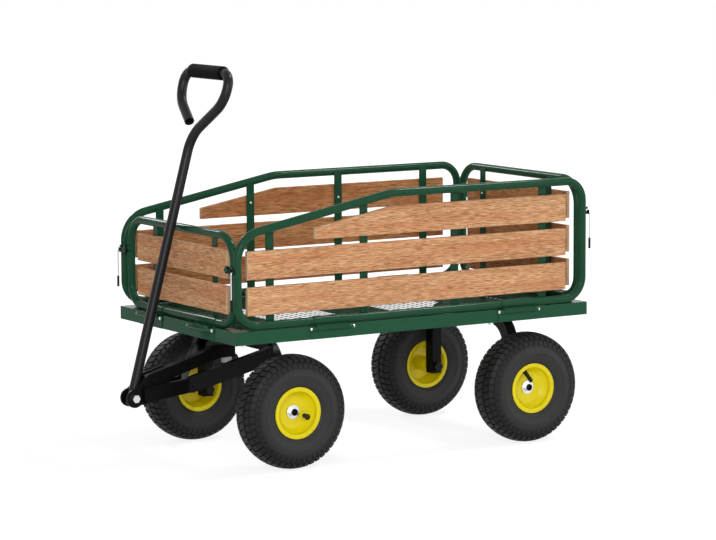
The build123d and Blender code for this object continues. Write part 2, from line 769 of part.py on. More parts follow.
# Steering plate on top of the front axle, reaching forward to the kingpin
with BuildPart() as steer_plate:
    tail = front_axle_fore - steer_plate_tail
    nose = kingpin_fore + steer_plate_nose
    with BuildSketch(Plane((deck_mid, 0, front_beam_top))):
        with Locations(((tail + nose) / 2, 0)):
            RectangleRounded(nose - tail, 2 * steer_plate_half_width, kingpin_d)
        with Locations((kingpin_fore, 0)):
            Circle(kingpin_d / 2 + kingpin_fit, mode=Mode.SUBTRACT)
    extrude(amount=steer_plate_sheet)
keep(steer_plate, "steering_plate")

# Tongue: rectangular tube with a sleeve for the kingpin, level at first and then falling to the cheeks
tongue_mid = tongue_top - tongue_depth / 2
tongue_rear_fore = kingpin_fore - tongue_tail
tongue_knee_fore = kingpin_fore + tongue_flat
with BuildPart() as tongue:
    with BuildLine(upright(deck_mid, 0)) as run:
        FilletPolyline((tongue_rear_fore, tongue_mid), (tongue_knee_fore, tongue_mid),
                       (tongue_front_fore, tongue_front_height), radius=tongue_bend)
    mouth = Plane(origin=run.line @ 0, x_dir=(0, 1, 0), z_dir=run.line % 0)
    with BuildSketch(mouth):
        Rectangle(tongue_width, tongue_depth)
        Rectangle(tongue_width - 2 * tongue_wall, tongue_depth - 2 * tongue_wall, mode=Mode.SUBTRACT)
    sweep(path=run.line)
    with BuildSketch(Plane((fore(kingpin_fore), 0, tongue_top - weld_bite))):
        Circle(kingpin_sleeve_d / 2)
    extrude(amount=axle_depth + weld_bite)
    with BuildSketch(Plane((fore(kingpin_fore), 0, tongue_top - 2 * tongue_depth))):
        Circle(kingpin_d / 2 + kingpin_fit)
    extrude(amount=2 * tongue_depth + axle_depth, mode=Mode.SUBTRACT)
    fall = (tongue_front_height - tongue_mid) / (tongue_front_fore - tongue_knee_fore)
    with BuildSketch(upright(deck_mid, 0)):
        for place in tongue_bolt_fores:
            with Locations((place, tongue_mid + (place - tongue_knee_fore) * fall)):
                Circle(tongue_bolt_d / 2 + bolt_fit)
    extrude(amount=tongue_width, both=True, mode=Mode.SUBTRACT)
keep(tongue, "tongue")

# Kingpin: head on the pivot plate, nut under the tongue
with BuildPart() as kingpin:
    stem = Plane((fore(kingpin_fore), 0, 0))
    nut_top = tongue_top - tongue_depth - turn_gap
    with BuildSketch(stem.offset(edge_bottom)):
        RegularPolygon(kingpin_head_d / 2, 6)
    extrude(amount=kingpin_head)
    with BuildSketch(stem.offset(nut_top - kingpin_nut - deck_sheet)):
        Circle(kingpin_d / 2)
    extrude(amount=edge_bottom - nut_top + kingpin_nut + deck_sheet)
    with BuildSketch(stem.offset(nut_top - kingpin_nut)):
        RegularPolygon(kingpin_nut_d / 2, 6)
    extrude(amount=kingpin_nut)
keep(kingpin, "kingpin")


def eye_corner(angle):
    """Where an edge of a cheek runs into its round eye, just inside the eye's rim."""
    reach = cheek_d / 2 - cheek_margin / 2
    turn = radians(angle)
    return handle_pivot_fore + reach * cos(turn), handle_pivot_height + reach * sin(turn)


# Cheeks: a pair of plates that hold the tongue's end and carry the handle between their eyes
cheek_top = tongue_mid + (cheek_rear_fore - tongue_knee_fore) * fall + tongue_depth / 2 + cheek_margin
with BuildPart() as cheeks:
    for side in (1, -1):
        with BuildSketch(upright(deck_mid, side * cheek_inner)):
            with Locations((handle_pivot_fore, handle_pivot_height)):
                Circle(cheek_d / 2)
            Polygon(eye_corner(cheek_heel_angle), eye_corner(cheek_brow_angle),
                    (tongue_front_fore + cheek_margin, tongue_front_height + tongue_depth / 2 + cheek_margin),
                    (cheek_rear_fore, cheek_top),
                    (cheek_rear_fore, handle_pivot_height - cheek_margin), align=None)
            with Locations((handle_pivot_fore, handle_pivot_height)):
                Circle(handle_bolt_d / 2 + bolt_fit, mode=Mode.SUBTRACT)
            for place in tongue_bolt_fores:
                with Locations((place, tongue_mid + (place - tongue_knee_fore) * fall)):
                    Circle(tongue_bolt_d / 2 + bolt_fit, mode=Mode.SUBTRACT)
        extrude(amount=cheek_sheet, dir=(0, side, 0))
keep(cheeks, "clevis_cheeks")

# Draw braces: flat bars from the cheeks, splaying up and out to the axle's legs
leg_front_fore = front_axle_fore + axle_fore_aft / 2
brace_mid = cheek_outer + brace_sheet / 2
for side, hand in ((1, "left"), (-1, "right")):
    with BuildPart() as brace:
        with BuildSketch(Plane((deck_mid, 0, 0))):
            with BuildLine():
                Polyline((brace_front_fore, side * brace_mid), (brace_bend_fore, side * brace_mid),
                         (leg_front_fore, side * leg_half_span),
                         (front_axle_fore, side * (leg_half_span + axle_fore_aft / 2)))
            trace(line_width=brace_sheet)
        extrude(amount=deck_top)
        with BuildSketch(upright(deck_mid, 0)):
            with BuildLine():
                Polyline((brace_front_fore + brace_sheet, brace_front_height),
                         (brace_bend_fore, brace_bend_height), (leg_front_fore, brace_end_height),
                         (front_axle_fore, brace_end_height + axle_fore_aft / 2))
            trace(line_width=brace_depth)
        extrude(amount=deck_width, both=True, mode=Mode.INTERSECT)
        split(bisect_by=Plane.YZ.offset(fore(leg_front_fore)), keep=Keep.TOP)
    keep(brace, f"draw_brace_{hand}")

# Bolts through the cheeks and the tongue
with BuildPart() as tongue_bolts:
    for place in tongue_bolt_fores:
        height = tongue_mid + (place - tongue_knee_fore) * fall
        for side in (1, -1):
            line = Plane(origin=(fore(place), 0, height), x_dir=(1, 0, 0), z_dir=(0, side, 0))
            with BuildSketch(line.offset(cheek_outer)):
                RegularPolygon(bolt_head_d / 2, 6)
            extrude(amount=bolt_head)
        with BuildSketch(line):
            Circle(tongue_bolt_d / 2)
        extrude(amount=cheek_outer, both=True)
keep(tongue_bolts, "tongue_bolts")

# Pivot bolt of the handle, through both cheeks
with BuildPart() as handle_bolt:
    for side in (1, -1):
        eye = (fore(handle_pivot_fore), 0, handle_pivot_height)
        line = Plane(origin=eye, x_dir=(1, 0, 0), z_dir=(0, side, 0))
        with BuildSketch(line.offset(cheek_outer)):
            RegularPolygon(handle_bolt_head_d / 2, 6)
        extrude(amount=handle_bolt_head)
    with BuildSketch(line):
        Circle(handle_bolt_d / 2)
    extrude(amount=cheek_outer, both=True)
keep(handle_bolt, "handle_bolt")

# Handle: the shaft leans back, swings aside at the loop, and the loop's free end stops by the shaft
lean = radians(handle_lean)
shaft_up = Vector(-sin(lean), 0, cos(lean))
handle_plane = Plane(origin=(fore(handle_pivot_fore), 0, handle_pivot_height),
                     x_dir=(0, 1, 0), z_dir=Vector(0, 1, 0).cross(shaft_up))
shoulder_up = handle_length - loop_shoulder
loop_left = loop_shift + loop_half_width
loop_right = loop_shift - loop_half_width
with BuildPart() as handle:
    with BuildLine(handle_plane) as bend:
        FilletPolyline((0, -handle_toe), (0, handle_length - loop_split), (loop_left, shoulder_up),
                       (loop_left, handle_length), (loop_right, handle_length),
                       (loop_right, shoulder_up), (-loop_end_gap, handle_length - loop_end_drop),
                       radius=[split_bend, shoulder_bend, grip_bend, grip_bend, shoulder_bend])
    sweep(bent_tube(bend.line, handle_d, handle_wall), path=bend.line)
    with BuildSketch(Plane(origin=handle_plane.origin, x_dir=(1, 0, 0), z_dir=(0, -1, 0))):
        Circle(handle_bolt_d / 2 + bolt_fit)
    extrude(amount=handle_d, both=True, mode=Mode.SUBTRACT)
keep(handle, "handle_tube")

# Grip: a sleeve on the straight top of the loop
grip_half = loop_half_width - grip_bend
with BuildPart() as grip:
    top_middle = handle_plane.from_local_coords(Vector(loop_shift, handle_length, 0))
    with BuildSketch(Plane(origin=top_middle, x_dir=(1, 0, 0), z_dir=(0, -1, 0))):
        Circle(grip_d / 2)
        Circle(handle_d / 2 + grip_gap, mode=Mode.SUBTRACT)
    extrude(amount=grip_half, both=True)
    fillet(grip.edges().filter_by(GeomType.CIRCLE).group_by(SortBy.RADIUS)[-1], grip_round)
keep(grip, "handle_grip")
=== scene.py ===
# %% [markdown]
# A hand-pulled garden wagon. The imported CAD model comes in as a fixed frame: every tube, plate and bolt
# is already in its place, in metres. This lesson dresses that frame. Most nodes only get a finish, and
# the pieces whose fine form matters to the eye, such as the tyre tread and the floor mesh, are modelled
# here.

# %% Load the frame
import bpy
import math
import random
from mathutils import Matrix, Vector


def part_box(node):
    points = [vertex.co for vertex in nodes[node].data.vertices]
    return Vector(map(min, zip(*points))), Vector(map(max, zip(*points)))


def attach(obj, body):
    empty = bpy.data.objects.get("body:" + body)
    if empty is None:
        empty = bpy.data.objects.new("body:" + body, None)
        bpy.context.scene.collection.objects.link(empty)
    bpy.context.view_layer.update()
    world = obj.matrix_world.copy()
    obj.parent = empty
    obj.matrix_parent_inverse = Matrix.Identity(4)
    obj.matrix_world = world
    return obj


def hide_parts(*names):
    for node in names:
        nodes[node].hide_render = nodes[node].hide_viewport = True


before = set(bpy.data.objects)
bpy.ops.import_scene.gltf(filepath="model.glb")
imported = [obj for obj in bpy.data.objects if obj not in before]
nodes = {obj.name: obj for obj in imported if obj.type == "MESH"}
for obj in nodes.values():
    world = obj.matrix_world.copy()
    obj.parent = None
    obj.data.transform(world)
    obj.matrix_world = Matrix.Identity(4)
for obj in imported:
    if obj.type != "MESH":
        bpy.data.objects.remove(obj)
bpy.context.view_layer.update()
scene = bpy.context.scene
scene.view_settings.view_transform = "Standard"

# %% [markdown]
# The places that several pieces share are read from the frame. The deck's tray gives the middle of the
# wagon, and each tyre's box gives the centre of its wheel.

# %% Shared places


def box_of(node):
    """The low and the high corner of a CAD node."""
    return [Vector(corner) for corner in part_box(node)]


def middle(node):
    """The centre of a CAD node's box."""
    low, high = box_of(node)
    return (low + high) / 2


deck_low, deck_high = box_of("deck_tray")
deck_mid_x = (deck_low.x + deck_high.x) / 2
corners = {f"{end}_{hand}": (end, hand) for end in ("front", "rear") for hand in ("left", "right")}
wheel_middles = {name: middle(f"{name}_tyre") for name in corners}
print("deck middle x %.3f, top z %.3f" % (deck_mid_x, deck_high.z))

# %% [markdown]
# The camera repeats the viewing angle of the photograph. It stands far off with a long lens, to the front
# left of the wagon and a little above the deck, so the side is seen slightly from the front with little
# perspective.

# %% Camera
IMAGE_WIDTH = 716
FOCAL_PIXELS = 3134.6
SENSOR_MM = 36.0
FAR_CLIP = 60.0
CAMERA_PLACE = Vector((3.8585 + deck_mid_x, 6.2142, 1.2945))
CAMERA_YAW = 0.5569
CAMERA_PITCH = 0.1209
CAMERA_ROLL = -0.0045

lens = bpy.data.cameras.new("photo_camera")
lens.sensor_width = SENSOR_MM
lens.lens = FOCAL_PIXELS / IMAGE_WIDTH * SENSOR_MM
lens.clip_end = FAR_CLIP
camera = bpy.data.objects.new("photo_camera", lens)
scene.collection.objects.link(camera)
flat = math.cos(CAMERA_PITCH)
ahead = Vector((-math.sin(CAMERA_YAW) * flat, -math.cos(CAMERA_YAW) * flat, -math.sin(CAMERA_PITCH)))
level = ahead.cross(Vector((0, 0, 1))).normalized()
up = level.cross(ahead)
right = level * math.cos(CAMERA_ROLL) + up * math.sin(CAMERA_ROLL)
top = up * math.cos(CAMERA_ROLL) - level * math.sin(CAMERA_ROLL)
turn = Matrix((right, top, -ahead)).transposed().to_4x4()
camera.matrix_world = Matrix.Translation(CAMERA_PLACE) @ turn
scene.camera = camera
print("lens %.1f mm" % lens.lens)

# %% [markdown]
# Light and finishes are wired from nodes. A helper adds a node, sets plain numbers on its sockets, links
# what comes from another node, and hands back the node's output.

# %% Node helpers


def feed(tree, socket, value):
    """Link an output to a socket, or set a plain value on it."""
    if isinstance(value, bpy.types.NodeSocket):
        tree.links.new(value, socket)
    else:
        socket.default_value = value


def maths(tree, operation, *values):
    """A sum, product or comparison of numbers."""
    node = tree.nodes.new("ShaderNodeMath")
    node.operation = operation
    for socket, value in zip(node.inputs, values):
        feed(tree, socket, value)
    return node.outputs[0]


def vectors(tree, operation, *values):
    """The same for vectors. A length or a dot product gives a number."""
    node = tree.nodes.new("ShaderNodeVectorMath")
    node.operation = operation
    for socket, value in zip(node.inputs, values):
        feed(tree, socket, value)
    return node.outputs["Value" if operation in ("LENGTH", "DOT_PRODUCT") else "Vector"]


def band(tree, value, start, end, low=0.0, high=1.0):
    """Map a value from one band to another, held at both ends."""
    node = tree.nodes.new("ShaderNodeMapRange")
    ends = {"Value": value, "From Min": start, "From Max": end, "To Min": low, "To Max": high}
    for label, number in ends.items():
        feed(tree, node.inputs[label], number)
    return node.outputs["Result"]


def mix_colour(tree, mask, first, second, blend="MIX"):
    """Go from a first colour to a second by a mask."""
    node = tree.nodes.new("ShaderNodeMix")
    node.data_type = "RGBA"
    node.blend_type = blend
    for label, value in (("Factor", mask), ("A", first), ("B", second)):
        feed(tree, node.inputs[label], value)
    return node.outputs["Result"]


print("wiring helpers ready")

# %% [markdown]
# Four more helpers ask about the point that is being shaded: a cloud of noise there, its place or the way
# it faces, one number of such a vector, and whether the ray that found it came straight from the camera.

# %% Helpers that ask about a point


def noise(tree, place, scale, detail, twist=0.0):
    """Clouds of values between 0 and 1."""
    node = tree.nodes.new("ShaderNodeTexNoise")
    for label, value in (("Vector", place), ("Scale", scale), ("Detail", detail), ("Distortion", twist)):
        feed(tree, node.inputs[label], value)
    return node.outputs["Fac"]


def coordinates(tree, kind):
    """Where a point lies, or the way it faces, in the piece's own frame."""
    return tree.nodes.new("ShaderNodeTexCoord").outputs[kind]


def one_axis(tree, vector, axis):
    """One of the three numbers of a vector."""
    node = tree.nodes.new("ShaderNodeSeparateXYZ")
    tree.links.new(vector, node.inputs[0])
    return node.outputs[axis]


def seen_directly(tree):
    """1 for what the camera, a mirror or clear glass looks at, and 0 for plain light."""
    path = tree.nodes.new("ShaderNodeLightPath")
    shown = maths(tree, "MAXIMUM", path.outputs["Is Camera Ray"], path.outputs["Is Glossy Ray"])
    return maths(tree, "MAXIMUM", shown, path.outputs["Is Transmission Ray"])


print("point helpers ready")

# %% [markdown]
# A soft studio: one broad lamp on the camera's side, low enough that the near panel shades the inside of
# the bed, a weaker one on the same side towards the rear, and two small ones, beyond the wagon and over
# its rear. A bent tube mirrors a lamp that stands off to the far end of its length, so the back lamp
# draws thin highlights along the end rails and the rear one along the side rails.

# %% Studio lamps
LAMP_AIM = Vector((deck_mid_x, 0.0, 0.35))


def add_lamp(name, place, size, watts):
    """A square area lamp that faces the wagon."""
    lamp = bpy.data.lights.new(name, "AREA")
    lamp.energy = watts
    lamp.size = size
    holder = bpy.data.objects.new(name, lamp)
    scene.collection.objects.link(holder)
    holder.location = place
    holder.rotation_euler = (LAMP_AIM - Vector(place)).to_track_quat("-Z", "Y").to_euler()


add_lamp("key_lamp", (2.5, 3.7, 1.8), size=2.4, watts=118.0)
add_lamp("fill_lamp", (-2.9, 3.1, 1.4), size=2.6, watts=38.0)
add_lamp("back_lamp", (0.6, -3.4, 2.6), size=0.7, watts=38.0)
add_lamp("rear_lamp", (deck_mid_x - 1.8, 0.5, 3.3), size=0.6, watts=56.0)

# %% [markdown]
# Round it all stands a white room. Rays from the camera, and reflections, see it as pure white, while the
# light that it throws on the wagon is weak, so that the lamps give the shading.

# %% White surround
AMBIENT = 0.26
SEEN_WHITE = 1.0

world = bpy.data.worlds.new("studio")
scene.world = world
world.use_nodes = True
tree = world.node_tree
tree.nodes.clear()
blend = tree.nodes.new("ShaderNodeMixShader")
tree.links.new(seen_directly(tree), blend.inputs["Fac"])
for socket, strength in ((blend.inputs[1], AMBIENT), (blend.inputs[2], SEEN_WHITE)):
    white = tree.nodes.new("ShaderNodeBackground")
    white.inputs["Color"].default_value = (1, 1, 1, 1)
    white.inputs["Strength"].default_value = strength
    tree.links.new(white.outputs[0], socket)
surround = tree.nodes.new("ShaderNodeOutputWorld")
tree.links.new(blend.outputs[0], surround.inputs["Surface"])
print("surround shows at", SEEN_WHITE, "and lights at", AMBIENT)

# %% [markdown]
# The floor is a wide white sheet. It keeps a soft shadow under the wheels, and for the camera part of it
# glows, so the picture stays as pale as the photograph's background. Away from the wagon the glow takes
# over, and the sheet runs into the white surround without an edge.

# %% Floor
FLOOR_HALF = 9.0
SHEET_WHITE = (0.9, 0.9, 0.9, 1)
GLOW_STRENGTH = 1.2
NEAR_GLOW = 0.70
SHADOW_END = 1.2
GLOW_START = 2.4

floor_mesh = bpy.data.meshes.new("floor")
floor_corners = [(x * FLOOR_HALF, y * FLOOR_HALF, 0) for x, y in ((-1, -1), (1, -1), (1, 1), (-1, 1))]
floor_mesh.from_pydata(floor_corners, [], [(0, 1, 2, 3)])
floor = bpy.data.objects.new("floor", floor_mesh)
scene.collection.objects.link(floor)
sheet = bpy.data.materials.new("white_sheet")
sheet.use_nodes = True
tree = sheet.node_tree
tree.nodes.clear()
matt = tree.nodes.new("ShaderNodeBsdfDiffuse")
matt.inputs["Color"].default_value = SHEET_WHITE
glow = tree.nodes.new("ShaderNodeEmission")
glow.inputs["Color"].default_value = (1, 1, 1, 1)
glow.inputs["Strength"].default_value = GLOW_STRENGTH
reach = vectors(tree, "LENGTH", coordinates(tree, "Object"))
fade = band(tree, reach, SHADOW_END, GLOW_START, NEAR_GLOW, 1.0)
blend = tree.nodes.new("ShaderNodeMixShader")
tree.links.new(maths(tree, "MULTIPLY", seen_directly(tree), fade), blend.inputs["Fac"])
tree.links.new(matt.outputs[0], blend.inputs[1])
tree.links.new(glow.outputs[0], blend.inputs[2])
surface = tree.nodes.new("ShaderNodeOutputMaterial")
tree.links.new(blend.outputs[0], surface.inputs["Surface"])
floor_mesh.materials.append(sheet)
print("floor is", 2 * FLOOR_HALF, "m wide")

# %% [markdown]
# Several finishes share the same small effects, so each effect is a shader node group, built once and
# placed in every material that needs it with its own values. The first group is surface unevenness: a
# fine noise for the bump and a slow one for colour and gloss, as any sprayed or moulded surface has.

# %% Node group: surface unevenness
FLOAT = "NodeSocketFloat"
COLOR = "NodeSocketColor"
VECTOR = "NodeSocketVector"


def new_group(name, inputs, outputs):
    """An empty shader group with named sockets, what it is given, and its output node."""
    group = bpy.data.node_groups.new(name, "ShaderNodeTree")
    for in_out, sockets in (("INPUT", inputs), ("OUTPUT", outputs)):
        for label, kind in sockets.items():
            group.interface.new_socket(label, in_out=in_out, socket_type=kind)
    return group, group.nodes.new("NodeGroupInput").outputs, group.nodes.new("NodeGroupOutput")


def put_out(group, out, **results):
    """Wire the results to the sockets of the group's output."""
    for label, result in results.items():
        group.links.new(result, out.inputs[label])
    print("group", group.name, "with", len(group.nodes), "nodes")


unevenness, given, out = new_group(
    "surface_unevenness",
    {"Base": COLOR, "Tint": COLOR, "Patch Scale": FLOAT, "Grain Scale": FLOAT, "Rough Low": FLOAT,
     "Rough High": FLOAT},
    {"Color": COLOR, "Roughness": FLOAT, "Height": FLOAT})
place = coordinates(unevenness, "Object")
patch = noise(unevenness, place, given["Patch Scale"], detail=4.0)
put_out(unevenness, out,
        Color=mix_colour(unevenness, patch, given["Base"], given["Tint"]),
        Roughness=band(unevenness, patch, 0.0, 1.0, given["Rough Low"], given["Rough High"]),
        Height=noise(unevenness, place, given["Grain Scale"], detail=2.0))

# %% [markdown]
# The second group finds edges. Sheet steel is never knife sharp: paint rounds an edge, and the round
# catches light. The Bevel node gives the normal that a small round would have. Where it leans away from
# the true normal there is an edge, and a noise breaks that line up into the faint rub that handled paint
# shows. On the slats the same mask lays a painted highlight along the edges instead.

# %% Node group: soft edges
soft_edges, given, out = new_group(
    "soft_edges", {"Radius": FLOAT, "Rub": FLOAT, "Break Scale": FLOAT}, {"Mask": FLOAT, "Normal": VECTOR})
round_over = soft_edges.nodes.new("ShaderNodeBevel")
round_over.samples = 4
soft_edges.links.new(given["Radius"], round_over.inputs["Radius"])
true_normal = soft_edges.nodes.new("ShaderNodeNewGeometry").outputs["Normal"]
agree = vectors(soft_edges, "DOT_PRODUCT", round_over.outputs["Normal"], true_normal)
ridge = band(soft_edges, agree, start=0.99, end=0.80)
breaks = noise(soft_edges, coordinates(soft_edges, "Object"), given["Break Scale"], detail=4.0)
worn = maths(soft_edges, "MULTIPLY", ridge, band(soft_edges, breaks, start=0.45, end=0.65))
put_out(soft_edges, out, Mask=maths(soft_edges, "MULTIPLY", worn, given["Rub"]),
        Normal=round_over.outputs["Normal"])

# %% [markdown]
# The third group is dust: a pale film in clouds on faces that look up. It is faint, because the wagon is
# new.

# %% Node group: dust
dust, given, out = new_group("dust_film", {"Amount": FLOAT}, {"Mask": FLOAT})
lift = band(dust, one_axis(dust, coordinates(dust, "Normal"), "Z"), start=-0.3, end=1.0)
clouds = noise(dust, coordinates(dust, "Object"), scale=35.0, detail=6.0)
film = maths(dust, "MULTIPLY", lift, clouds)
put_out(dust, out, Mask=maths(dust, "MULTIPLY", film, given["Amount"]))

# %% [markdown]
# The fourth group measures how far a point lies from an axle that runs along Y. Tyres and spindles change
# their colour at a radius: the tyre takes painted shade on its tread and the spindle in its hollow.

# %% Node group: distance from the axle
axle_reach, given, out = new_group(
    "axle_reach", {"Axle": VECTOR, "Start": FLOAT, "End": FLOAT}, {"Mask": FLOAT})
from_axle = vectors(axle_reach, "SUBTRACT", coordinates(axle_reach, "Object"), given["Axle"])
radius = vectors(axle_reach, "LENGTH", vectors(axle_reach, "MULTIPLY", from_axle, (1.0, 0.0, 1.0)))
put_out(axle_reach, out, Mask=band(axle_reach, radius, given["Start"], given["End"]))

# %% [markdown]
# Every finish is a material with a Principled shader, and the groups above feed that shader. These
# helpers turn a screen colour into a shader's colour, start a material, place a group or an uneven skin,
# add a bump and wire the finish up.

# %% Finish helpers


def srgb(red, green, blue):
    """A screen colour, 0 to 255, as the linear colour that a shader takes."""
    def linear(part):
        part /= 255.0
        return part / 12.92 if part <= 0.04045 else ((part + 0.055) / 1.055) ** 2.4
    return (linear(red), linear(green), linear(blue), 1.0)


def new_finish(name):
    """A material with its shader, and the tree to wire it in."""
    made = bpy.data.materials.new(name)
    made.use_nodes = True
    return made, made.node_tree, made.node_tree.nodes["Principled BSDF"]


def use_group(tree, group, **values):
    """Place a node group and set its inputs by name, with spaces written as underscores."""
    node = tree.nodes.new("ShaderNodeGroup")
    node.node_tree = group
    for label, value in values.items():
        feed(tree, node.inputs[label.replace("_", " ")], value)
    return node


def add_skin(tree, base, tint, rough, patch, grain):
    """Place the unevenness group with two colours, a roughness band and the scales of its noises."""
    return use_group(tree, unevenness, Base=base, Tint=tint, Patch_Scale=patch, Grain_Scale=grain,
                     Rough_Low=rough[0], Rough_High=rough[1])


def add_bump(tree, height, shader, strength, distance, normal=None):
    """Feed a height to the shader's normal, on top of another normal if one is given."""
    bump = tree.nodes.new("ShaderNodeBump")
    bump.inputs["Strength"].default_value = strength
    bump.inputs["Distance"].default_value = distance
    tree.links.new(height, bump.inputs["Height"])
    if normal:
        tree.links.new(normal, bump.inputs["Normal"])
    tree.links.new(bump.outputs["Normal"], shader.inputs["Normal"])


def wire_finish(tree, shader, skin, colour, gloss, dusty, bump, distance, normal=None):
    """Lay dust on a colour, and wire it to the shader with the skin's roughness and bump."""
    if dusty:
        film = use_group(tree, dust, Amount=dusty)
        colour = mix_colour(tree, film.outputs["Mask"], colour, DUST_COLOUR)
    tree.links.new(colour, shader.inputs["Base Color"])
    tree.links.new(skin.outputs["Roughness"], shader.inputs["Roughness"])
    shader.inputs["Specular IOR Level"].default_value = gloss
    add_bump(tree, skin.outputs["Height"], shader, bump, distance, normal)


DUST_COLOUR = srgb(150, 142, 128)
print("dust colour %.2f %.2f %.2f" % DUST_COLOUR[:3])

# %% [markdown]
# Paint on the wagon is one recipe with different values: green on the tray, a darker copy of that green
# as painted shade on the panels' tubes and straps, a satin black on the chassis, charcoal on the handle
# and yellow on the rims. The groups give a colour that drifts slightly, a roughness band, a faint
# orange-peel bump and the soft edges. Powder coat reflects less than a wet gloss, so the specular level
# is low and the dark colours stay deep in a white room.

# %% Paint recipe


def paint(name, base, tint, rubbed, rough, peel, gloss, dusty=0.0):
    """Painted steel: drifting colour, rubbed edges, a faint orange peel and a film of dust."""
    made, tree, shader = new_finish(name)
    skin = add_skin(tree, base, tint, rough, patch=9.0, grain=420.0)
    edge = use_group(tree, soft_edges, Radius=0.001, Rub=0.5, Break_Scale=90.0)
    colour = mix_colour(tree, edge.outputs["Mask"], skin.outputs["Color"], rubbed)
    wire_finish(tree, shader, skin, colour, gloss, dusty, peel, distance=0.0006,
                normal=edge.outputs["Normal"])
    return made


green_paint = paint("green_paint", srgb(39, 83, 59), srgb(33, 75, 53), rubbed=srgb(54, 103, 78),
                    rough=(0.12, 0.19), peel=0.04, gloss=0.05)
# Painted shade: the panels' tubes and straps take a darker copy of the tray's green.
panel_paint = paint("panel_paint", srgb(31, 73, 50), srgb(25, 65, 44), rubbed=srgb(52, 101, 76),
                    rough=(0.12, 0.19), peel=0.04, gloss=0.07)
chassis_paint = paint("chassis_paint", srgb(13, 13, 13), srgb(9, 9, 9), rubbed=srgb(38, 38, 38),
                      rough=(0.28, 0.40), peel=0.08, gloss=0.08, dusty=0.01)
handle_paint = paint("handle_paint", srgb(30, 30, 31), srgb(24, 24, 26), rubbed=srgb(60, 60, 62),
                     rough=(0.26, 0.36), peel=0.12, gloss=0.16)
rim_paint = paint("rim_paint", srgb(227, 211, 8), srgb(216, 197, 4), rubbed=srgb(244, 234, 80),
                  rough=(0.20, 0.30), peel=0.04, gloss=0.26)
print("paints:", green_paint.name, panel_paint.name, chassis_paint.name, handle_paint.name, rim_paint.name)

# %% [markdown]
# Zinc-plated bolts and pins are metal with a fine brushed roughness and slightly uneven, cool colour.

# %% Zinc
zinc, tree, shader = new_finish("zinc_plate")
skin = add_skin(tree, srgb(238, 238, 240), srgb(206, 208, 212), rough=(0.20, 0.38), patch=60.0, grain=900.0)
tree.links.new(skin.outputs["Color"], shader.inputs["Base Color"])
tree.links.new(skin.outputs["Roughness"], shader.inputs["Roughness"])
shader.inputs["Metallic"].default_value = 1.0
add_bump(tree, skin.outputs["Height"], shader, strength=0.06, distance=0.0004)
print("metal:", zinc.name)

# %% [markdown]
# Rubber and soft plastic share a recipe as well: dark, matt, with a fine pebble in the bump. The tyre's
# tread is painted darker than its sidewall, as painted shade. The distance from the axle says which is
# which, since a wheel piece has its own axle as its Y axis.

# %% Rubber
TREAD_FADE = (0.092, 0.106)


def rubber(name, base, tint, rough, pebble, grain, gloss=0.22, dusty=0.0, tread_shade_colour=None):
    """Matt rubber or vinyl with a fine pebble, and painted shade on the tread if a tread colour is given.
    """
    made, tree, shader = new_finish(name)
    skin = add_skin(tree, base, tint, rough, patch=14.0, grain=grain)
    colour = skin.outputs["Color"]
    if tread_shade_colour:
        on_tread = use_group(tree, axle_reach, Start=TREAD_FADE[0], End=TREAD_FADE[1])
        colour = mix_colour(tree, on_tread.outputs["Mask"], colour, tread_shade_colour)
    wire_finish(tree, shader, skin, colour, gloss, dusty, pebble, distance=0.0005)
    return made


# The tyre's darker tread colour is painted shade.
tyre_rubber = rubber("tyre_rubber", srgb(45, 45, 45), srgb(38, 38, 38), rough=(0.50, 0.66), pebble=0.14,
                     grain=500.0, dusty=0.03, tread_shade_colour=srgb(17, 17, 17))
valve_rubber = rubber("valve_rubber", srgb(20, 20, 20), srgb(14, 14, 14), rough=(0.5, 0.6), pebble=0.10,
                      grain=600.0)
grip_foam = rubber("grip_foam", srgb(13, 13, 13), srgb(8, 8, 9), rough=(0.7, 0.85), pebble=0.45,
                   grain=750.0, gloss=0.06)
print("rubbers:", tyre_rubber.name, valve_rubber.name, grip_foam.name)

# %% [markdown]
# The slats are warm tan softwood with brown grain. Grain runs along the board, so the group takes a
# stretch direction: coordinates are squeezed along the board's length before they reach the noise, which
# draws the noise out into streaks. Wide bands give the slow change from light to dark, a blush the redder
# patches, fine streaks the pores, and short dark flecks the figure. The group also asks which way a face
# looks in the board's own frame, so the answer stays right when a panel folds. A face that looks along
# the board is a sawn end, with pale end grain. The face towards the bed gets painted shade: its colour is
# multiplied darker and redder, for the light that the near panel keeps out of the bed.

# %% Node group: board wood
STREAK_SHARE = 0.64
BAND_SHARE = 0.36
BLUSH_SHARE = 0.55
FLECK_SHARE = 0.75
FACING_LIMIT = 0.6

wood, given, out = new_group(
    "board_wood",
    {"Stretch": VECTOR, "Offset": VECTOR, "Board": VECTOR, "Inward": VECTOR, "Light": COLOR, "Dark": COLOR,
     "Warm": COLOR, "Fleck": COLOR, "Stain": COLOR, "End Grain": COLOR},
    {"Color": COLOR, "Roughness": FLOAT, "Height": FLOAT})
moved = vectors(wood, "ADD", coordinates(wood, "Object"), given["Offset"])
drawn = vectors(wood, "MULTIPLY", moved, given["Stretch"])
bands = band(wood, noise(wood, drawn, scale=52.0, detail=3.0, twist=0.6), 0.32, 0.68)
blush = band(wood, noise(wood, drawn, scale=40.0, detail=2.0, twist=0.6), 0.48, 0.70)
streaks = band(wood, noise(wood, drawn, scale=540.0, detail=3.0, twist=0.2), 0.37, 0.61)
flecks = band(wood, noise(wood, drawn, scale=640.0, detail=2.0, twist=0.2), 0.55, 0.68)
slow_part = maths(wood, "MULTIPLY", bands, BAND_SHARE)
depth = maths(wood, "MULTIPLY_ADD", streaks, STREAK_SHARE, slow_part)
timber = mix_colour(wood, depth, given["Light"], given["Dark"])
timber = mix_colour(wood, maths(wood, "MULTIPLY", blush, BLUSH_SHARE), timber, given["Warm"])
timber = mix_colour(wood, maths(wood, "MULTIPLY", flecks, FLECK_SHARE), timber, given["Fleck"])
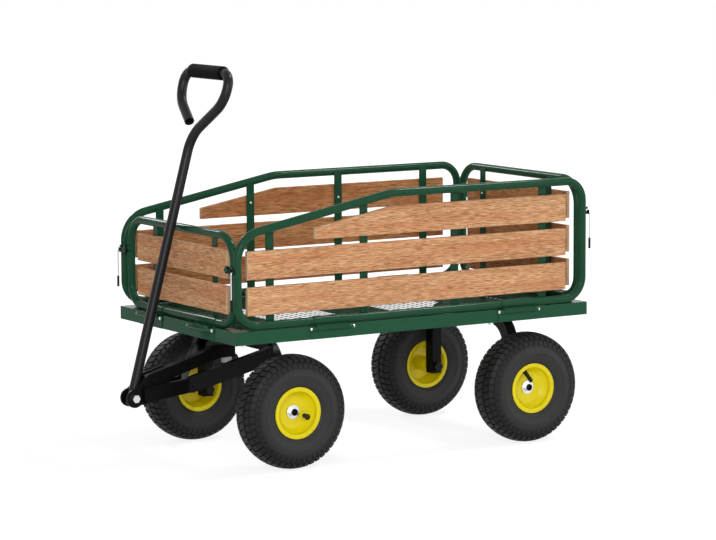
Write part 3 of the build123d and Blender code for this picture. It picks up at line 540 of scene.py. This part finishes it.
# Painted shade: faces that look towards the bed are darkened and reddened by a multiplied colour.
facing = coordinates(wood, "Normal")
bedwards = vectors(wood, "DOT_PRODUCT", facing, given["Inward"])
inner = maths(wood, "GREATER_THAN", bedwards, FACING_LIMIT)
timber = mix_colour(wood, inner, timber, given["Stain"], "MULTIPLY")
lengthwise = maths(wood, "ABSOLUTE", vectors(wood, "DOT_PRODUCT", facing, given["Board"]))
sawn = maths(wood, "GREATER_THAN", lengthwise, FACING_LIMIT)
put_out(wood, out, Color=mix_colour(wood, sawn, timber, given["End Grain"]),
        Roughness=band(wood, streaks, 0.0, 1.0, low=0.52, high=0.68),
        Height=maths(wood, "SUBTRACT", 1.0, streaks))

# %% [markdown]
# One material is made for each slat from that group, because the offset and the directions differ. Side
# slats run along X and end slats along Y, and each board gets its own offset, so no two boards repeat.
# The soft edges lighten the wood along every edge: a painted highlight, where light catches the eased
# edges.

# %% Slat finishes
GRAIN_DRAW = 0.075
OFFSET_MOST = 5.0
ALONG_X = (1.0, 0.0, 0.0)
ALONG_Y = (0.0, 1.0, 0.0)
random.seed(7)


def slat_finish(node, board, inward):
    """Wood for one board, with its grain along the board and painted shade on its face towards the bed."""
    made, tree, shader = new_finish(f"wood_{node}")
    # The multiplied colour for the inward face is painted shade, not a stain.
    timber = use_group(tree, wood, Stretch=[GRAIN_DRAW if part else 1.0 for part in board],
                       Offset=[random.uniform(-OFFSET_MOST, OFFSET_MOST) for _ in range(3)],
                       Board=board, Inward=inward, Light=srgb(229, 181, 136), Dark=srgb(159, 106, 67),
                       Warm=srgb(193, 122, 81), Fleck=srgb(123, 74, 46), Stain=(0.73, 0.62, 0.50, 1.0),
                       End_Grain=srgb(198, 164, 130))
    edge = use_group(tree, soft_edges, Radius=0.0026, Rub=1.0, Break_Scale=40.0)
    # Painted highlight: a pale colour laid along the edges of the slat.
    colour = mix_colour(tree, edge.outputs["Mask"], timber.outputs["Color"], srgb(242, 218, 196))
    wire_finish(tree, shader, timber, colour, gloss=0.10, dusty=0.0, bump=0.22, distance=0.0008,
                normal=edge.outputs["Normal"])
    return made


def dress(node, finish):
    """Give a CAD node its finish."""
    slots = nodes[node].data.materials
    slots.clear()
    slots.append(finish)


panel_ways = {"left": (ALONG_X, (0, -1, 0)), "right": (ALONG_X, (0, 1, 0)),
              "front": (ALONG_Y, (-1, 0, 0)), "rear": (ALONG_Y, (1, 0, 0))}
slats = sorted(name for name in nodes if "_slat_" in name)
for name in slats:
    dress(name, slat_finish(name, *panel_ways[name.split("_")[0]]))
print("dressed", len(slats), "slats")

# %% [markdown]
# The rest of the CAD nodes take a finish by what they are made of: green on everything that belongs to
# the bed, black on what carries it, zinc on the bare pins and bolts.

# %% Finishes for the CAD nodes
finish_of = {"handle_tube": handle_paint, "handle_grip": grip_foam}
for name in ("deck_tray", "deck_mesh", "hinge_leaves", "front_latch_bolts", "rear_latch_bolts"):
    finish_of[name] = green_paint
for name in ("left_panel_frame", "right_panel_frame", "front_panel_frame", "rear_panel_frame",
             "left_panel_straps", "right_panel_straps"):
    finish_of[name] = panel_paint
for name in ("rear_axle", "front_axle", "pivot_plate", "steering_plate", "tongue", "draw_brace_left",
             "draw_brace_right", "clevis_cheeks", "tongue_bolts"):
    finish_of[name] = chassis_paint
for name in ("hinge_pins", "deck_bolts", "kingpin", "handle_bolt"):
    finish_of[name] = zinc
for name in corners:
    finish_of[f"{name}_tyre"] = tyre_rubber
    finish_of[f"{name}_rim"] = rim_paint
    finish_of[f"{name}_valve"] = valve_rubber
    finish_of[f"{name}_latch_lever"] = chassis_paint
for name, finish in finish_of.items():
    dress(name, finish)
print("dressed", len(finish_of), "other nodes")

# %% [markdown]
# Two kinds of CAD node hold more than one finish, and a mask tells bright plate from dark. A latch rod is
# a zinc rod with a black vinyl tip, so its finish changes at the height where the tip ends.

# %% Latch rods
BLACK = srgb(12, 12, 12)
TIP_LENGTH = 0.0252


def part_plated(name, base, tint, rough):
    """A material of plated metal, and a way to lay that metal over a bare colour by a mask."""
    made, tree, shader = new_finish(name)
    skin = add_skin(tree, base, tint, rough, patch=60.0, grain=900.0)
    tree.links.new(skin.outputs["Roughness"], shader.inputs["Roughness"])
    shader.inputs["Specular IOR Level"].default_value = 0.15

    def lay(metal, bare):
        tree.links.new(mix_colour(tree, metal, bare, skin.outputs["Color"]), shader.inputs["Base Color"])
        tree.links.new(metal, shader.inputs["Metallic"])
    return made, tree, lay


for end in ("front", "rear"):
    rod_plate, tree, lay = part_plated(f"{end}_rod_plate", srgb(206, 207, 210), srgb(180, 182, 186),
                                       rough=(0.25, 0.40))
    tip_top = box_of(f"{end}_left_latch_rod")[0].z + TIP_LENGTH
    height = one_axis(tree, coordinates(tree, "Object"), "Z")
    lay(maths(tree, "GREATER_THAN", height, tip_top), BLACK)
    for hand in ("left", "right"):
        dress(f"{end}_{hand}_latch_rod", rod_plate)
    print(end, "rod tips end at z = %.3f" % tip_top)

# %% [markdown]
# A wheel turns on a spindle whose outer end is a hollow tube, held by a bright nut and washer. Inside the
# hollow there is hardly any light, and the head on the inner side is painted with the axle, so both show
# as black. The collar between the axle's leg and the wheel is sprayed with the rim. The finish is chosen
# by the distance from the axle and by how far out along it a point lies.

# %% Spindles
HOLLOW_R = 0.0080
HOLLOW_EDGE = 0.0001
COLLAR_Y = 0.1795
HUB_Y = 0.1890
COLLAR_YELLOW = srgb(222, 204, 6)

for end in ("front", "rear"):
    spindle_plate, tree, lay = part_plated(f"{end}_spindle_plate", srgb(226, 227, 230), srgb(202, 204, 208),
                                           rough=(0.22, 0.36))
    solid = use_group(tree, axle_reach, Axle=middle(f"{end}_spindles"), Start=HOLLOW_R,
                      End=HOLLOW_R + HOLLOW_EDGE)
    far_out = maths(tree, "ABSOLUTE", one_axis(tree, coordinates(tree, "Object"), "Y"))
    outboard = maths(tree, "GREATER_THAN", far_out, HUB_Y)
    collar = maths(tree, "SUBTRACT", maths(tree, "GREATER_THAN", far_out, COLLAR_Y), outboard)
    bare = mix_colour(tree, collar, BLACK, COLLAR_YELLOW)
    # Painted shade: inside the hollow radius the spindle's outer end is coloured black.
    lay(maths(tree, "MULTIPLY", solid.outputs["Mask"], outboard), bare)
    dress(f"{end}_spindles", spindle_plate)
print("spindles dressed, with collars from y = %.3f to %.3f" % (COLLAR_Y, HUB_Y))

# %% [markdown]
# Pieces made here are plain meshes: a list of points and a list of faces. One helper turns them into a
# smoothed mesh. A second hangs it on an object that rides on a CAD body, so it moves with every joint.
# Two more join rings of points with faces.

# %% Mesh helpers


def new_mesh(name, points, faces, finish, sharp_deg=None):
    """A mesh with its finish, smooth up to an angle if one is given."""
    shape = bpy.data.meshes.new(name)
    shape.from_pydata([tuple(point) for point in points], [], faces)
    shape.materials.append(finish)
    if sharp_deg:
        shape.polygons.foreach_set("use_smooth", [True] * len(shape.polygons))
        shape.set_sharp_from_angle(angle=math.radians(sharp_deg))
    shape.update()
    return shape


def add_piece(name, shape, body, replaced=None, stand=None):
    """An object that rides on a body, in the place of a CAD node if one is named."""
    piece = bpy.data.objects.new(name, shape)
    scene.collection.objects.link(piece)
    if stand is not None:
        piece.matrix_world = stand
    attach(piece, body)
    if replaced:
        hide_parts(replaced)


def ring_faces(rows, steps, closed):
    """Quads between rings of points, with the last row joined to the first when closed."""
    faces = []
    for row in range(rows if closed else rows - 1):
        here = row * steps
        there = ((row + 1) % rows) * steps
        for step in range(steps):
            after = (step + 1) % steps
            faces.append((here + step, here + after, there + after, there + step))
    return faces


def capped_faces(rows, steps):
    """Quads between rings, with the first and the last ring closed by a flat face."""
    last = (rows - 1) * steps
    ends = [tuple(range(steps - 1, -1, -1)), tuple(range(last, last + steps))]
    return ring_faces(rows, steps, False) + ends


print("mesh helpers ready")

# %% [markdown]
# Round pieces start as an outline: a few corners, each with the radius of its bend, as on a workshop
# drawing. One helper turns the corners into arcs, a second spins the outline round the wheel's axle,
# which lies along Y, and a third sets a finished wheel piece down at all four corners of the wagon.

# %% Outlines and lathe work
ARC_STEPS = 6


def rounded(bends):
    """A closed outline in which every corner (across, out, bend radius) has become an arc."""
    outline = []
    for index, (across, away, bend) in enumerate(bends):
        here = Vector((across, away))
        before = (Vector(bends[index - 1][:2]) - here).normalized()
        after = (Vector(bends[(index + 1) % len(bends)][:2]) - here).normalized()
        half = before.angle(after) / 2
        middle_of_arc = here + (before + after).normalized() * bend / math.sin(half)
        start = here + before * bend / math.tan(half) - middle_of_arc
        end = here + after * bend / math.tan(half) - middle_of_arc
        first = math.atan2(start.y, start.x)
        sweep = (math.atan2(end.y, end.x) - first + math.pi) % (2 * math.pi) - math.pi
        for step in range(ARC_STEPS + 1):
            angle = first + sweep * step / ARC_STEPS
            outline.append(middle_of_arc + bend * Vector((math.cos(angle), math.sin(angle))))
    return outline


def lathe(outline, steps):
    """Spin an outline of (along the axle, away from it) round the Y axis: points in rings."""
    points = []
    for along_axle, away in outline:
        for step in range(steps):
            angle = 2 * math.pi * step / steps
            points.append((away * math.cos(angle), along_axle, away * math.sin(angle)))
    return points


def add_wheel_pieces(kind, points, faces, finish, sharp_deg):
    """One mesh, used four times in the place of its CAD node, with its outer face away from the wagon."""
    shape = new_mesh(f"wheel_{kind}", points, faces, finish, sharp_deg)
    for name, (_, hand) in corners.items():
        turned = Matrix.Rotation(0.0 if hand == "left" else math.pi, 4, "Z")
        add_piece(f"{name}_wheel_{kind}", shape, f"{name}_wheel", f"{name}_{kind}",
                  Matrix.Translation(wheel_middles[name]) @ turned)
    print("wheel", kind, "has", len(points), "points")


print("a bend becomes an arc of", ARC_STEPS, "steps")

# %% [markdown]
# The tyre is the piece that a plain revolve can't give: blocks of tread stand on the crown, and lugs wrap
# over each shoulder on to the sidewall. Rows of points run across the tyre along its real section, from
# the middle of the crown over the shoulder to the bead at the rim. Each row is then repeated round the
# wheel. The section is two arcs, and a distance along them says where a row lies, so the tread can be
# laid out as on a flat drawing.

# %% Tyre section
tyre_low, tyre_high = box_of("front_left_tyre")
rim_low, rim_high = box_of("front_left_rim")
TYRE_R = (tyre_high.z - tyre_low.z) / 2
TYRE_HALF = (tyre_high.y - tyre_low.y) / 2
FLANGE_R = (rim_high.z - rim_low.z) / 2
RIM_EDGE = rim_high.y - (tyre_low.y + tyre_high.y) / 2
RIM_SHEET = 0.0025
SEAT_R = 0.0512
BEAD_WIDTH = 0.009
BEAD_GAP = 0.0002
TYRE_WALL = 0.008
TREAD_HALF = 0.029
CROWN_DROP = 0.005
SHOULDER_R = TYRE_R - CROWN_DROP
BELLY_R = (SHOULDER_R + FLANGE_R) / 2
BEAD_EDGE = RIM_EDGE - RIM_SHEET - BEAD_GAP
CROWN_PARTS = 80
WALL_PARTS = 160


def arc_through(start, between, end, count):
    """Points along the circle through three points, worked out with complex numbers."""
    a, b, c = (complex(*spot) for spot in (start, between, end))
    ratio = (c - a) / (b - a)
    centre = a + (b - a) * (ratio - abs(ratio) ** 2) / (2j * ratio.imag)
    bearings = [math.atan2((spot - centre).imag, (spot - centre).real) for spot in (a, b, c)]
    sweep = (bearings[2] - bearings[0]) % (2 * math.pi)
    if (bearings[1] - bearings[0]) % (2 * math.pi) > sweep:
        sweep -= 2 * math.pi
    arc = []
    for part in range(count + 1):
        angle = sweep * part / count
        spot = centre + (a - centre) * complex(math.cos(angle), math.sin(angle))
        arc.append(Vector((spot.real, spot.imag)))
    return arc


shoulder = (TREAD_HALF, SHOULDER_R)
crown = arc_through((-TREAD_HALF, SHOULDER_R), (0.0, TYRE_R), shoulder, CROWN_PARTS)
wall = arc_through(shoulder, (TYRE_HALF, BELLY_R), (BEAD_EDGE, FLANGE_R + BEAD_GAP), WALL_PARTS)
section = crown[CROWN_PARTS // 2:] + wall[1:]
lengths = [0.0]
for spot, following in zip(section, section[1:]):
    lengths.append(lengths[-1] + (following - spot).length)


def on_section(distance):
    """The point at a distance along the section, and the way the rubber faces there."""
    index = max(1, next((k for k, length in enumerate(lengths) if length >= distance), len(lengths) - 1))
    run = section[index] - section[index - 1]
    share = min(1.0, (distance - lengths[index - 1]) / (lengths[index] - lengths[index - 1]))
    return section[index - 1] + run * share, Vector((-run.y, run.x)).normalized()


print("half section is %.1f mm long" % (1000 * lengths[-1]))

# %% [markdown]
# Now the tread. Forty-eight pitches go round the tyre. In each pitch a few points lie on the block and a
# few in the slot beside it, and the slot's points are sunk along the section's normal. A middle rib of
# blocks, a row of tread blocks on each side of it and two rows of small shoulder blocks on each sidewall
# each start at their own angle, with grooves round the tyre between them. Below the blocks the sidewall
# is smooth, with low moulded rings. Rows are placed by their distance from the middle of the crown, and a
# sink below zero is a rise.

# %% Tread rows
PITCHES = 48
BLOCK_SAMPLES = (0.0, 0.25, 0.50, 0.75)
SLOT_SAMPLES = (0.79, 0.875, 0.96)
TREAD_DEEP = 0.0042
SHOULDER_DEEP = 0.0028
WALL_INSET = 0.0015
WALL_BLEND = 0.022
RIB_START = 0.25
OTHER_HALF = 0.5
RIB_SLANT = 0.22
BLOCK_SLANT = 0.20
SHOULDER_SHIFT = 0.12
EDGE_SHIFT = 0.5
RIB_ROWS = (0.0054, 0.0106)
GROOVE_ROWS = (0.0114, 0.0146)
BLOCK_ROWS = (0.0154, 0.0200, 0.0245, 0.0283)
PARTING_ROWS = (0.0289, 0.0303)
SHOULDER_ROWS = (0.0309, 0.0335, 0.0365, 0.0392, 0.0416)
EDGE_PARTING_ROWS = (0.0422, 0.0434)
EDGE_ROWS = (0.0440, 0.0470, 0.0500, 0.0530, 0.0552)
LUG_FOOT = 0.0564
WALL_ROW_GAP = 0.0046
RING_STARTS = (0.0720, 0.0900)
RING_SINK = -0.0008
RING_FORM = ((0.0, 0.0), (0.0006, RING_SINK), (0.0024, RING_SINK), (0.0030, 0.0))
wall_rows = [LUG_FOOT + WALL_ROW_GAP * k for k in range(3)]
moulded_rows = [(start + step, sink) for start in RING_STARTS for step, sink in RING_FORM]


def tread_rows(hand):
    """Rows of one half: distance, turn in pitches, sink on a block and sink in a slot."""
    start = 0.0 if hand > 0 else OTHER_HALF
    rows = [(s, RIB_START + hand * RIB_SLANT * s / RIB_ROWS[-1], 0.0, TREAD_DEEP) for s in RIB_ROWS]
    rows.append((GROOVE_ROWS[0], rows[-1][1], TREAD_DEEP, TREAD_DEEP))
    rows.append((GROOVE_ROWS[1], start, TREAD_DEEP, TREAD_DEEP))
    for s in BLOCK_ROWS:
        share = (s - BLOCK_ROWS[0]) / (BLOCK_ROWS[-1] - BLOCK_ROWS[0])
        rows.append((s, start + BLOCK_SLANT * share, 0.0, TREAD_DEEP))
    lean = start + BLOCK_SLANT + SHOULDER_SHIFT
    rows.append((PARTING_ROWS[0], start + BLOCK_SLANT, WALL_INSET, TREAD_DEEP))
    rows.append((PARTING_ROWS[1], lean, WALL_INSET, TREAD_DEEP))
    rows += [(s, lean, 0.0, SHOULDER_DEEP) for s in SHOULDER_ROWS]
    edge_lean = lean + EDGE_SHIFT
    rows.append((EDGE_PARTING_ROWS[0], lean, WALL_INSET, WALL_INSET))
    rows.append((EDGE_PARTING_ROWS[1], edge_lean, WALL_INSET, WALL_INSET))
    rows += [(s, edge_lean, 0.0, WALL_INSET) for s in EDGE_ROWS]
    for s in wall_rows:
        sink = WALL_INSET * max(0.0, 1 - (s - LUG_FOOT) / WALL_BLEND) ** 2
        rows.append((s, edge_lean, sink, sink))
    rows += [(s, edge_lean, sink, sink) for s, sink in moulded_rows]
    rows.append((lengths[-1], edge_lean, 0.0, 0.0))
    return rows


print("tread has", len(tread_rows(1)), "rows on each half")

# %% [markdown]
# The rows become rings of points. The outside runs from one bead over the crown to the other, and plain
# rings close the inside as a carcass, so the tyre is a solid piece of rubber with room for the air.

# %% Tyres
samples = [(share, False) for share in BLOCK_SAMPLES] + [(share, True) for share in SLOT_SAMPLES]
tyre_steps = PITCHES * len(samples)


def ring_angles(turn_pitches):
    """The angle of every point round the tyre, and whether it lies in a slot."""
    return [(2 * math.pi * (pitch + share + turn_pitches) / PITCHES, in_slot)
            for pitch in range(PITCHES) for share, in_slot in samples]


def tread_ring(hand, distance, turn_pitches, block_sink, slot_sink):
    """A ring of points on the outside, sunk where the slots are."""
    spot, facing_out = on_section(distance)
    ring = []
    for angle, in_slot in ring_angles(turn_pitches):
        at = spot - facing_out * (slot_sink if in_slot else block_sink)
        ring.append((at.y * math.cos(angle), hand * at.x, at.y * math.sin(angle)))
    return ring


def carcass_ring(across, away, turn_pitches):
    """A ring of plain points on the inside."""
    return [(away * math.cos(angle), across, away * math.sin(angle))
            for angle, _ in ring_angles(turn_pitches)]


tyre_points = []
for row in reversed(tread_rows(-1)):
    tyre_points += tread_ring(-1, *row)
tyre_points += tread_ring(1, 0.0, RIB_START, 0.0, TREAD_DEEP)
for row in tread_rows(1):
    tyre_points += tread_ring(1, *row)
bead = [(BEAD_EDGE, SEAT_R + BEAD_GAP), (BEAD_EDGE - BEAD_WIDTH, SEAT_R + BEAD_GAP),
        (TYRE_HALF - TYRE_WALL, BELLY_R), (TREAD_HALF - TYRE_WALL, SHOULDER_R - TYRE_WALL)]
inner_turn = BLOCK_SLANT + SHOULDER_SHIFT + EDGE_SHIFT
for across, away in bead:
    tyre_points += carcass_ring(across, away, inner_turn)
for across, away in reversed(bead):
    tyre_points += carcass_ring(-across, away, OTHER_HALF + inner_turn)
tyre_faces = ring_faces(len(tyre_points) // tyre_steps, tyre_steps, True)
add_wheel_pieces("tyre", tyre_points, tyre_faces, tyre_rubber, sharp_deg=32.0)

# %% [markdown]
# The rim is pressed from sheet: a flat flange ring that holds the tyre, a barrel, a wall that rounds into
# a broad floor, and a hub tube welded through the middle. Its section is one outline, spun round the
# axle. The bends have the generous radii of pressed steel, which is what gives the bowl its soft shading.

# %% Rims
RIM_STEPS = 128
WELL_R = 0.044
WELL_HALF = 0.004
FLOOR_FACE = 0.0085
FLOOR_R = 0.036
HUB_R = 0.0175
HUB_BORE = 0.00805
HUB_OUTER = 0.008
HUB_INNER = -0.038

barrel_r = SEAT_R - RIM_SHEET
barrel_edge = RIM_EDGE - BEAD_WIDTH - RIM_SHEET
flange_back = RIM_EDGE - RIM_SHEET
disc_back = FLOOR_FACE - RIM_SHEET
rim_outline = rounded([
    (RIM_EDGE, FLANGE_R, 0.0011), (RIM_EDGE, barrel_r, 0.0032), (barrel_edge, barrel_r, 0.007),
    (FLOOR_FACE, FLOOR_R, 0.013), (FLOOR_FACE, HUB_R, 0.0002), (HUB_OUTER, HUB_R, 0.0002),
    (HUB_OUTER, HUB_BORE, 0.0004), (HUB_INNER, HUB_BORE, 0.0004), (HUB_INNER, HUB_R, 0.001),
    (disc_back, HUB_R, 0.002), (disc_back, WELL_R - RIM_SHEET, 0.004),
    (-WELL_HALF, WELL_R - RIM_SHEET, 0.004), (-barrel_edge, barrel_r, 0.006), (-RIM_EDGE, barrel_r, 0.0045),
    (-RIM_EDGE, FLANGE_R, 0.0011), (-flange_back, FLANGE_R, 0.0006), (-flange_back, SEAT_R, 0.0015),
    (-barrel_edge, SEAT_R, 0.006), (-WELL_HALF, WELL_R, 0.008), (WELL_HALF, WELL_R, 0.008),
    (barrel_edge, SEAT_R, 0.006), (flange_back, SEAT_R, 0.0015), (flange_back, FLANGE_R, 0.0006)])
rim_faces = ring_faces(len(rim_outline), RIM_STEPS, True)
add_wheel_pieces("rim", lathe(rim_outline, RIM_STEPS), rim_faces, rim_paint, sharp_deg=50.0)

# %% [markdown]
# The valve is a rubber stem that stands square out of the dish wall and leans in over the hub, with a cap
# on its end. It is a small turned piece: base collar, neck, and a cap with a fine step. Front and rear
# wheels stopped at different angles, so the stem's place round the wheel differs.

# %% Valves
VALVE_STEPS = 28
VALVE_TURNS = {"front": math.radians(-158.0), "rear": math.radians(75.0)}
VALVE_SEAT = 0.0050
VALVE_LENGTH = 0.031


def facing_way(spot, way):
    """Stand a turned piece at a spot, with its Y axis along a way."""
    return Matrix.Translation(spot) @ Vector((0, 1, 0)).rotation_difference(way).to_matrix().to_4x4()


wall_way = Vector((barrel_edge - FLOOR_FACE, barrel_r - FLOOR_R)).normalized()
stem_outline = [(-0.0045, 0.0062), (0.0006, 0.0068), (0.0018, 0.0062), (0.0034, 0.0053), (0.0058, 0.0048),
                (0.0196, 0.0045), (0.0200, 0.0040), (0.0205, 0.0050), (0.0210, 0.0052), (0.0290, 0.0049),
                (0.0303, 0.0043), (VALVE_LENGTH, 0.0030)]
valve_shape = lathe(stem_outline, VALVE_STEPS)
valve_faces = capped_faces(len(stem_outline), VALVE_STEPS)
for name, (end, hand) in corners.items():
    turn = VALVE_TURNS[end]
    out_of_axle = Vector((math.cos(turn), 0.0, math.sin(turn)))
    outward = Vector((0.0, 1.0 if hand == "left" else -1.0, 0.0))
    foot = wheel_middles[name] + outward * (FLOOR_FACE + VALVE_SEAT * wall_way.x)
    foot += out_of_axle * (FLOOR_R + VALVE_SEAT * wall_way.y)
    stand = facing_way(foot, outward * wall_way.y - out_of_axle * wall_way.x)
    stem_points = [stand @ Vector(point) for point in valve_shape]
    shape = new_mesh(f"{name}_valve_stem", stem_points, valve_faces, valve_rubber, sharp_deg=40.0)
    add_piece(f"{name}_valve_stem", shape, f"{name}_wheel", f"{name}_valve")
print("valve stems have", len(valve_shape), "points each")

# %% [markdown]
# The floor is expanded metal: a sheet that was slit and stretched into diamonds. It could be a picture of
# holes, but real strands throw real shadows. Each strand zigzags along the wagon and meets the next one
# at the knuckles, so one function that makes a zigzag bar, repeated across the width, gives the whole
# floor.

# %% Floor of expanded metal
DIAMOND_LONG = 0.038
DIAMOND_SHORT = 0.019
STRAND = 0.0012
SHEET = 0.0007
BAR_CORNERS = 4

mesh_low, mesh_high = box_of("deck_mesh")
columns = round((mesh_high.x - mesh_low.x) / (DIAMOND_LONG / 2))
strands = round((mesh_high.y - mesh_low.y - STRAND) / (DIAMOND_SHORT / 2))
step_x = (mesh_high.x - mesh_low.x) / columns
step_y = (mesh_high.y - mesh_low.y - STRAND) / strands
half_mitre = STRAND / 2 * math.hypot(step_x, step_y) / step_x


def strand_points(strand):
    """One zigzag bar: four corners at every knuckle."""
    points = []
    for column in range(columns + 1):
        x = mesh_low.x + column * step_x
        knuckle = strand + (column + strand) % 2
        y = mesh_low.y + STRAND / 2 + knuckle * step_y
        y = min(max(y, mesh_low.y + half_mitre), mesh_high.y - half_mitre)
        points += [(x, y - half_mitre, mesh_high.z - SHEET), (x, y + half_mitre, mesh_high.z - SHEET),
                   (x, y + half_mitre, mesh_high.z), (x, y - half_mitre, mesh_high.z)]
    return points


floor_points = []
floor_faces = []
bar_faces = [tuple(reversed(face)) for face in capped_faces(columns + 1, BAR_CORNERS)]
for strand in range(strands):
    base = len(floor_points)
    floor_points += strand_points(strand)
    floor_faces += [tuple(base + corner for corner in face) for face in bar_faces]
floor_shape = new_mesh("expanded_floor", floor_points, floor_faces, green_paint)
add_piece("expanded_floor", floor_shape, "deck", "deck_mesh")
print("floor has", strands, "strands of", columns, "runs")

# %% [markdown]
# Small turned parts repeat many times: screw heads and pin caps. Each is a low outline, spun once and set
# down at every place, facing its own way, as one mesh for the body that carries them.

# %% Turned fasteners
FASTENER_STEPS = 16


def add_fasteners(name, outline, places, body):
    """Zinc fasteners of one outline, each at a spot and facing a way, as one piece."""
    turned = lathe(outline, FASTENER_STEPS)
    turned_faces = capped_faces(len(outline), FASTENER_STEPS)
    points = []
    faces = []
    for spot, way in places:
        stand = facing_way(spot, way)
        base = len(points)
        points += [stand @ Vector(point) for point in turned]
        faces += [tuple(base + corner for corner in face) for face in turned_faces]
    add_piece(name, new_mesh(name, points, faces, zinc, sharp_deg=40.0), body)
    print(name, "holds", len(places), "pieces")


print("a fastener is turned in", FASTENER_STEPS, "steps")

# %% [markdown]
# Each slat is held by a pan-head screw through every strap, driven from inside the bed. The head is a low
# dome with a recess for the driver.

# %% Slat screws
SCREW_R = 0.0031
SCREW_RISE = 0.0022
STRAP_FORES = (0.379, 0.133, -0.113, -0.359)
STRAP_INNER_Y = 0.2535
END_STRAP_HALF = 0.139
END_STRAP_INNERS = {"front": 0.4505, "rear": -0.4585}

screw_outline = [(-0.0006, SCREW_R), (0.0006, SCREW_R), (0.0016, SCREW_R * 0.90),
                 (SCREW_RISE, SCREW_R * 0.58), (SCREW_RISE, 0.0017), (0.0010, 0.0014)]
slat_boxes = {panel: [box_of(name) for name in slats if name.startswith(panel)] for panel in panel_ways}
for panel, hand in (("left", 1.0), ("right", -1.0)):
    inward = Vector((0.0, -hand, 0.0))
    places = []
    for low, high in slat_boxes[panel]:
        for x in (deck_mid_x + fore for fore in STRAP_FORES):
            if x < high.x:
                places.append((Vector((x, hand * STRAP_INNER_Y, (low.z + high.z) / 2)), inward))
    add_fasteners(f"{panel}_slat_screws", screw_outline, places, f"{panel}_panel")
for panel, body, end in (("front", "deck", 1.0), ("rear", "rear_panel", -1.0)):
    inward = Vector((-end, 0.0, 0.0))
    x = deck_mid_x + END_STRAP_INNERS[panel]
    places = [(Vector((x, side * END_STRAP_HALF, (low.z + high.z) / 2)), inward)
              for low, high in slat_boxes[panel] for side in (1.0, -1.0)]
    add_fasteners(f"{panel}_slat_screws", screw_outline, places, body)

# %% [markdown]
# A hinge pin is kept in its knuckles by a bright cap pressed on to each end. There are two hinges to a
# panel, with their pins just outside the deck's edge.

# %% Hinge caps
PIN_OUT = 0.0055
SIDE_HINGE_FORES = (0.231, -0.277)
END_HINGE_HALF = 0.121
HINGE_HALF = 0.0541
CAP_R = 0.0043
CAP_RISE = 0.0044

pin_z = middle("hinge_pins").z
cap_outline = [(0.0, CAP_R * 0.94), (0.0006, CAP_R), (CAP_RISE * 0.62, CAP_R * 0.97),
               (CAP_RISE * 0.9, CAP_R * 0.80), (CAP_RISE, CAP_R * 0.45)]
hinges = [(Vector((deck_mid_x + fore, side * (deck_high.y + PIN_OUT), pin_z)), Vector(ALONG_X))
          for fore in SIDE_HINGE_FORES for side in (1.0, -1.0)]
hinges += [(Vector((x, side * END_HINGE_HALF, pin_z)), Vector(ALONG_Y))
           for x in (deck_high.x + PIN_OUT, deck_low.x - PIN_OUT) for side in (1.0, -1.0)]
caps = [(spot + way * end * HINGE_HALF, way * end) for spot, way in hinges for end in (1.0, -1.0)]
add_fasteners("hinge_caps", cap_outline, caps, "deck")

# %% End


print("scene dressed")
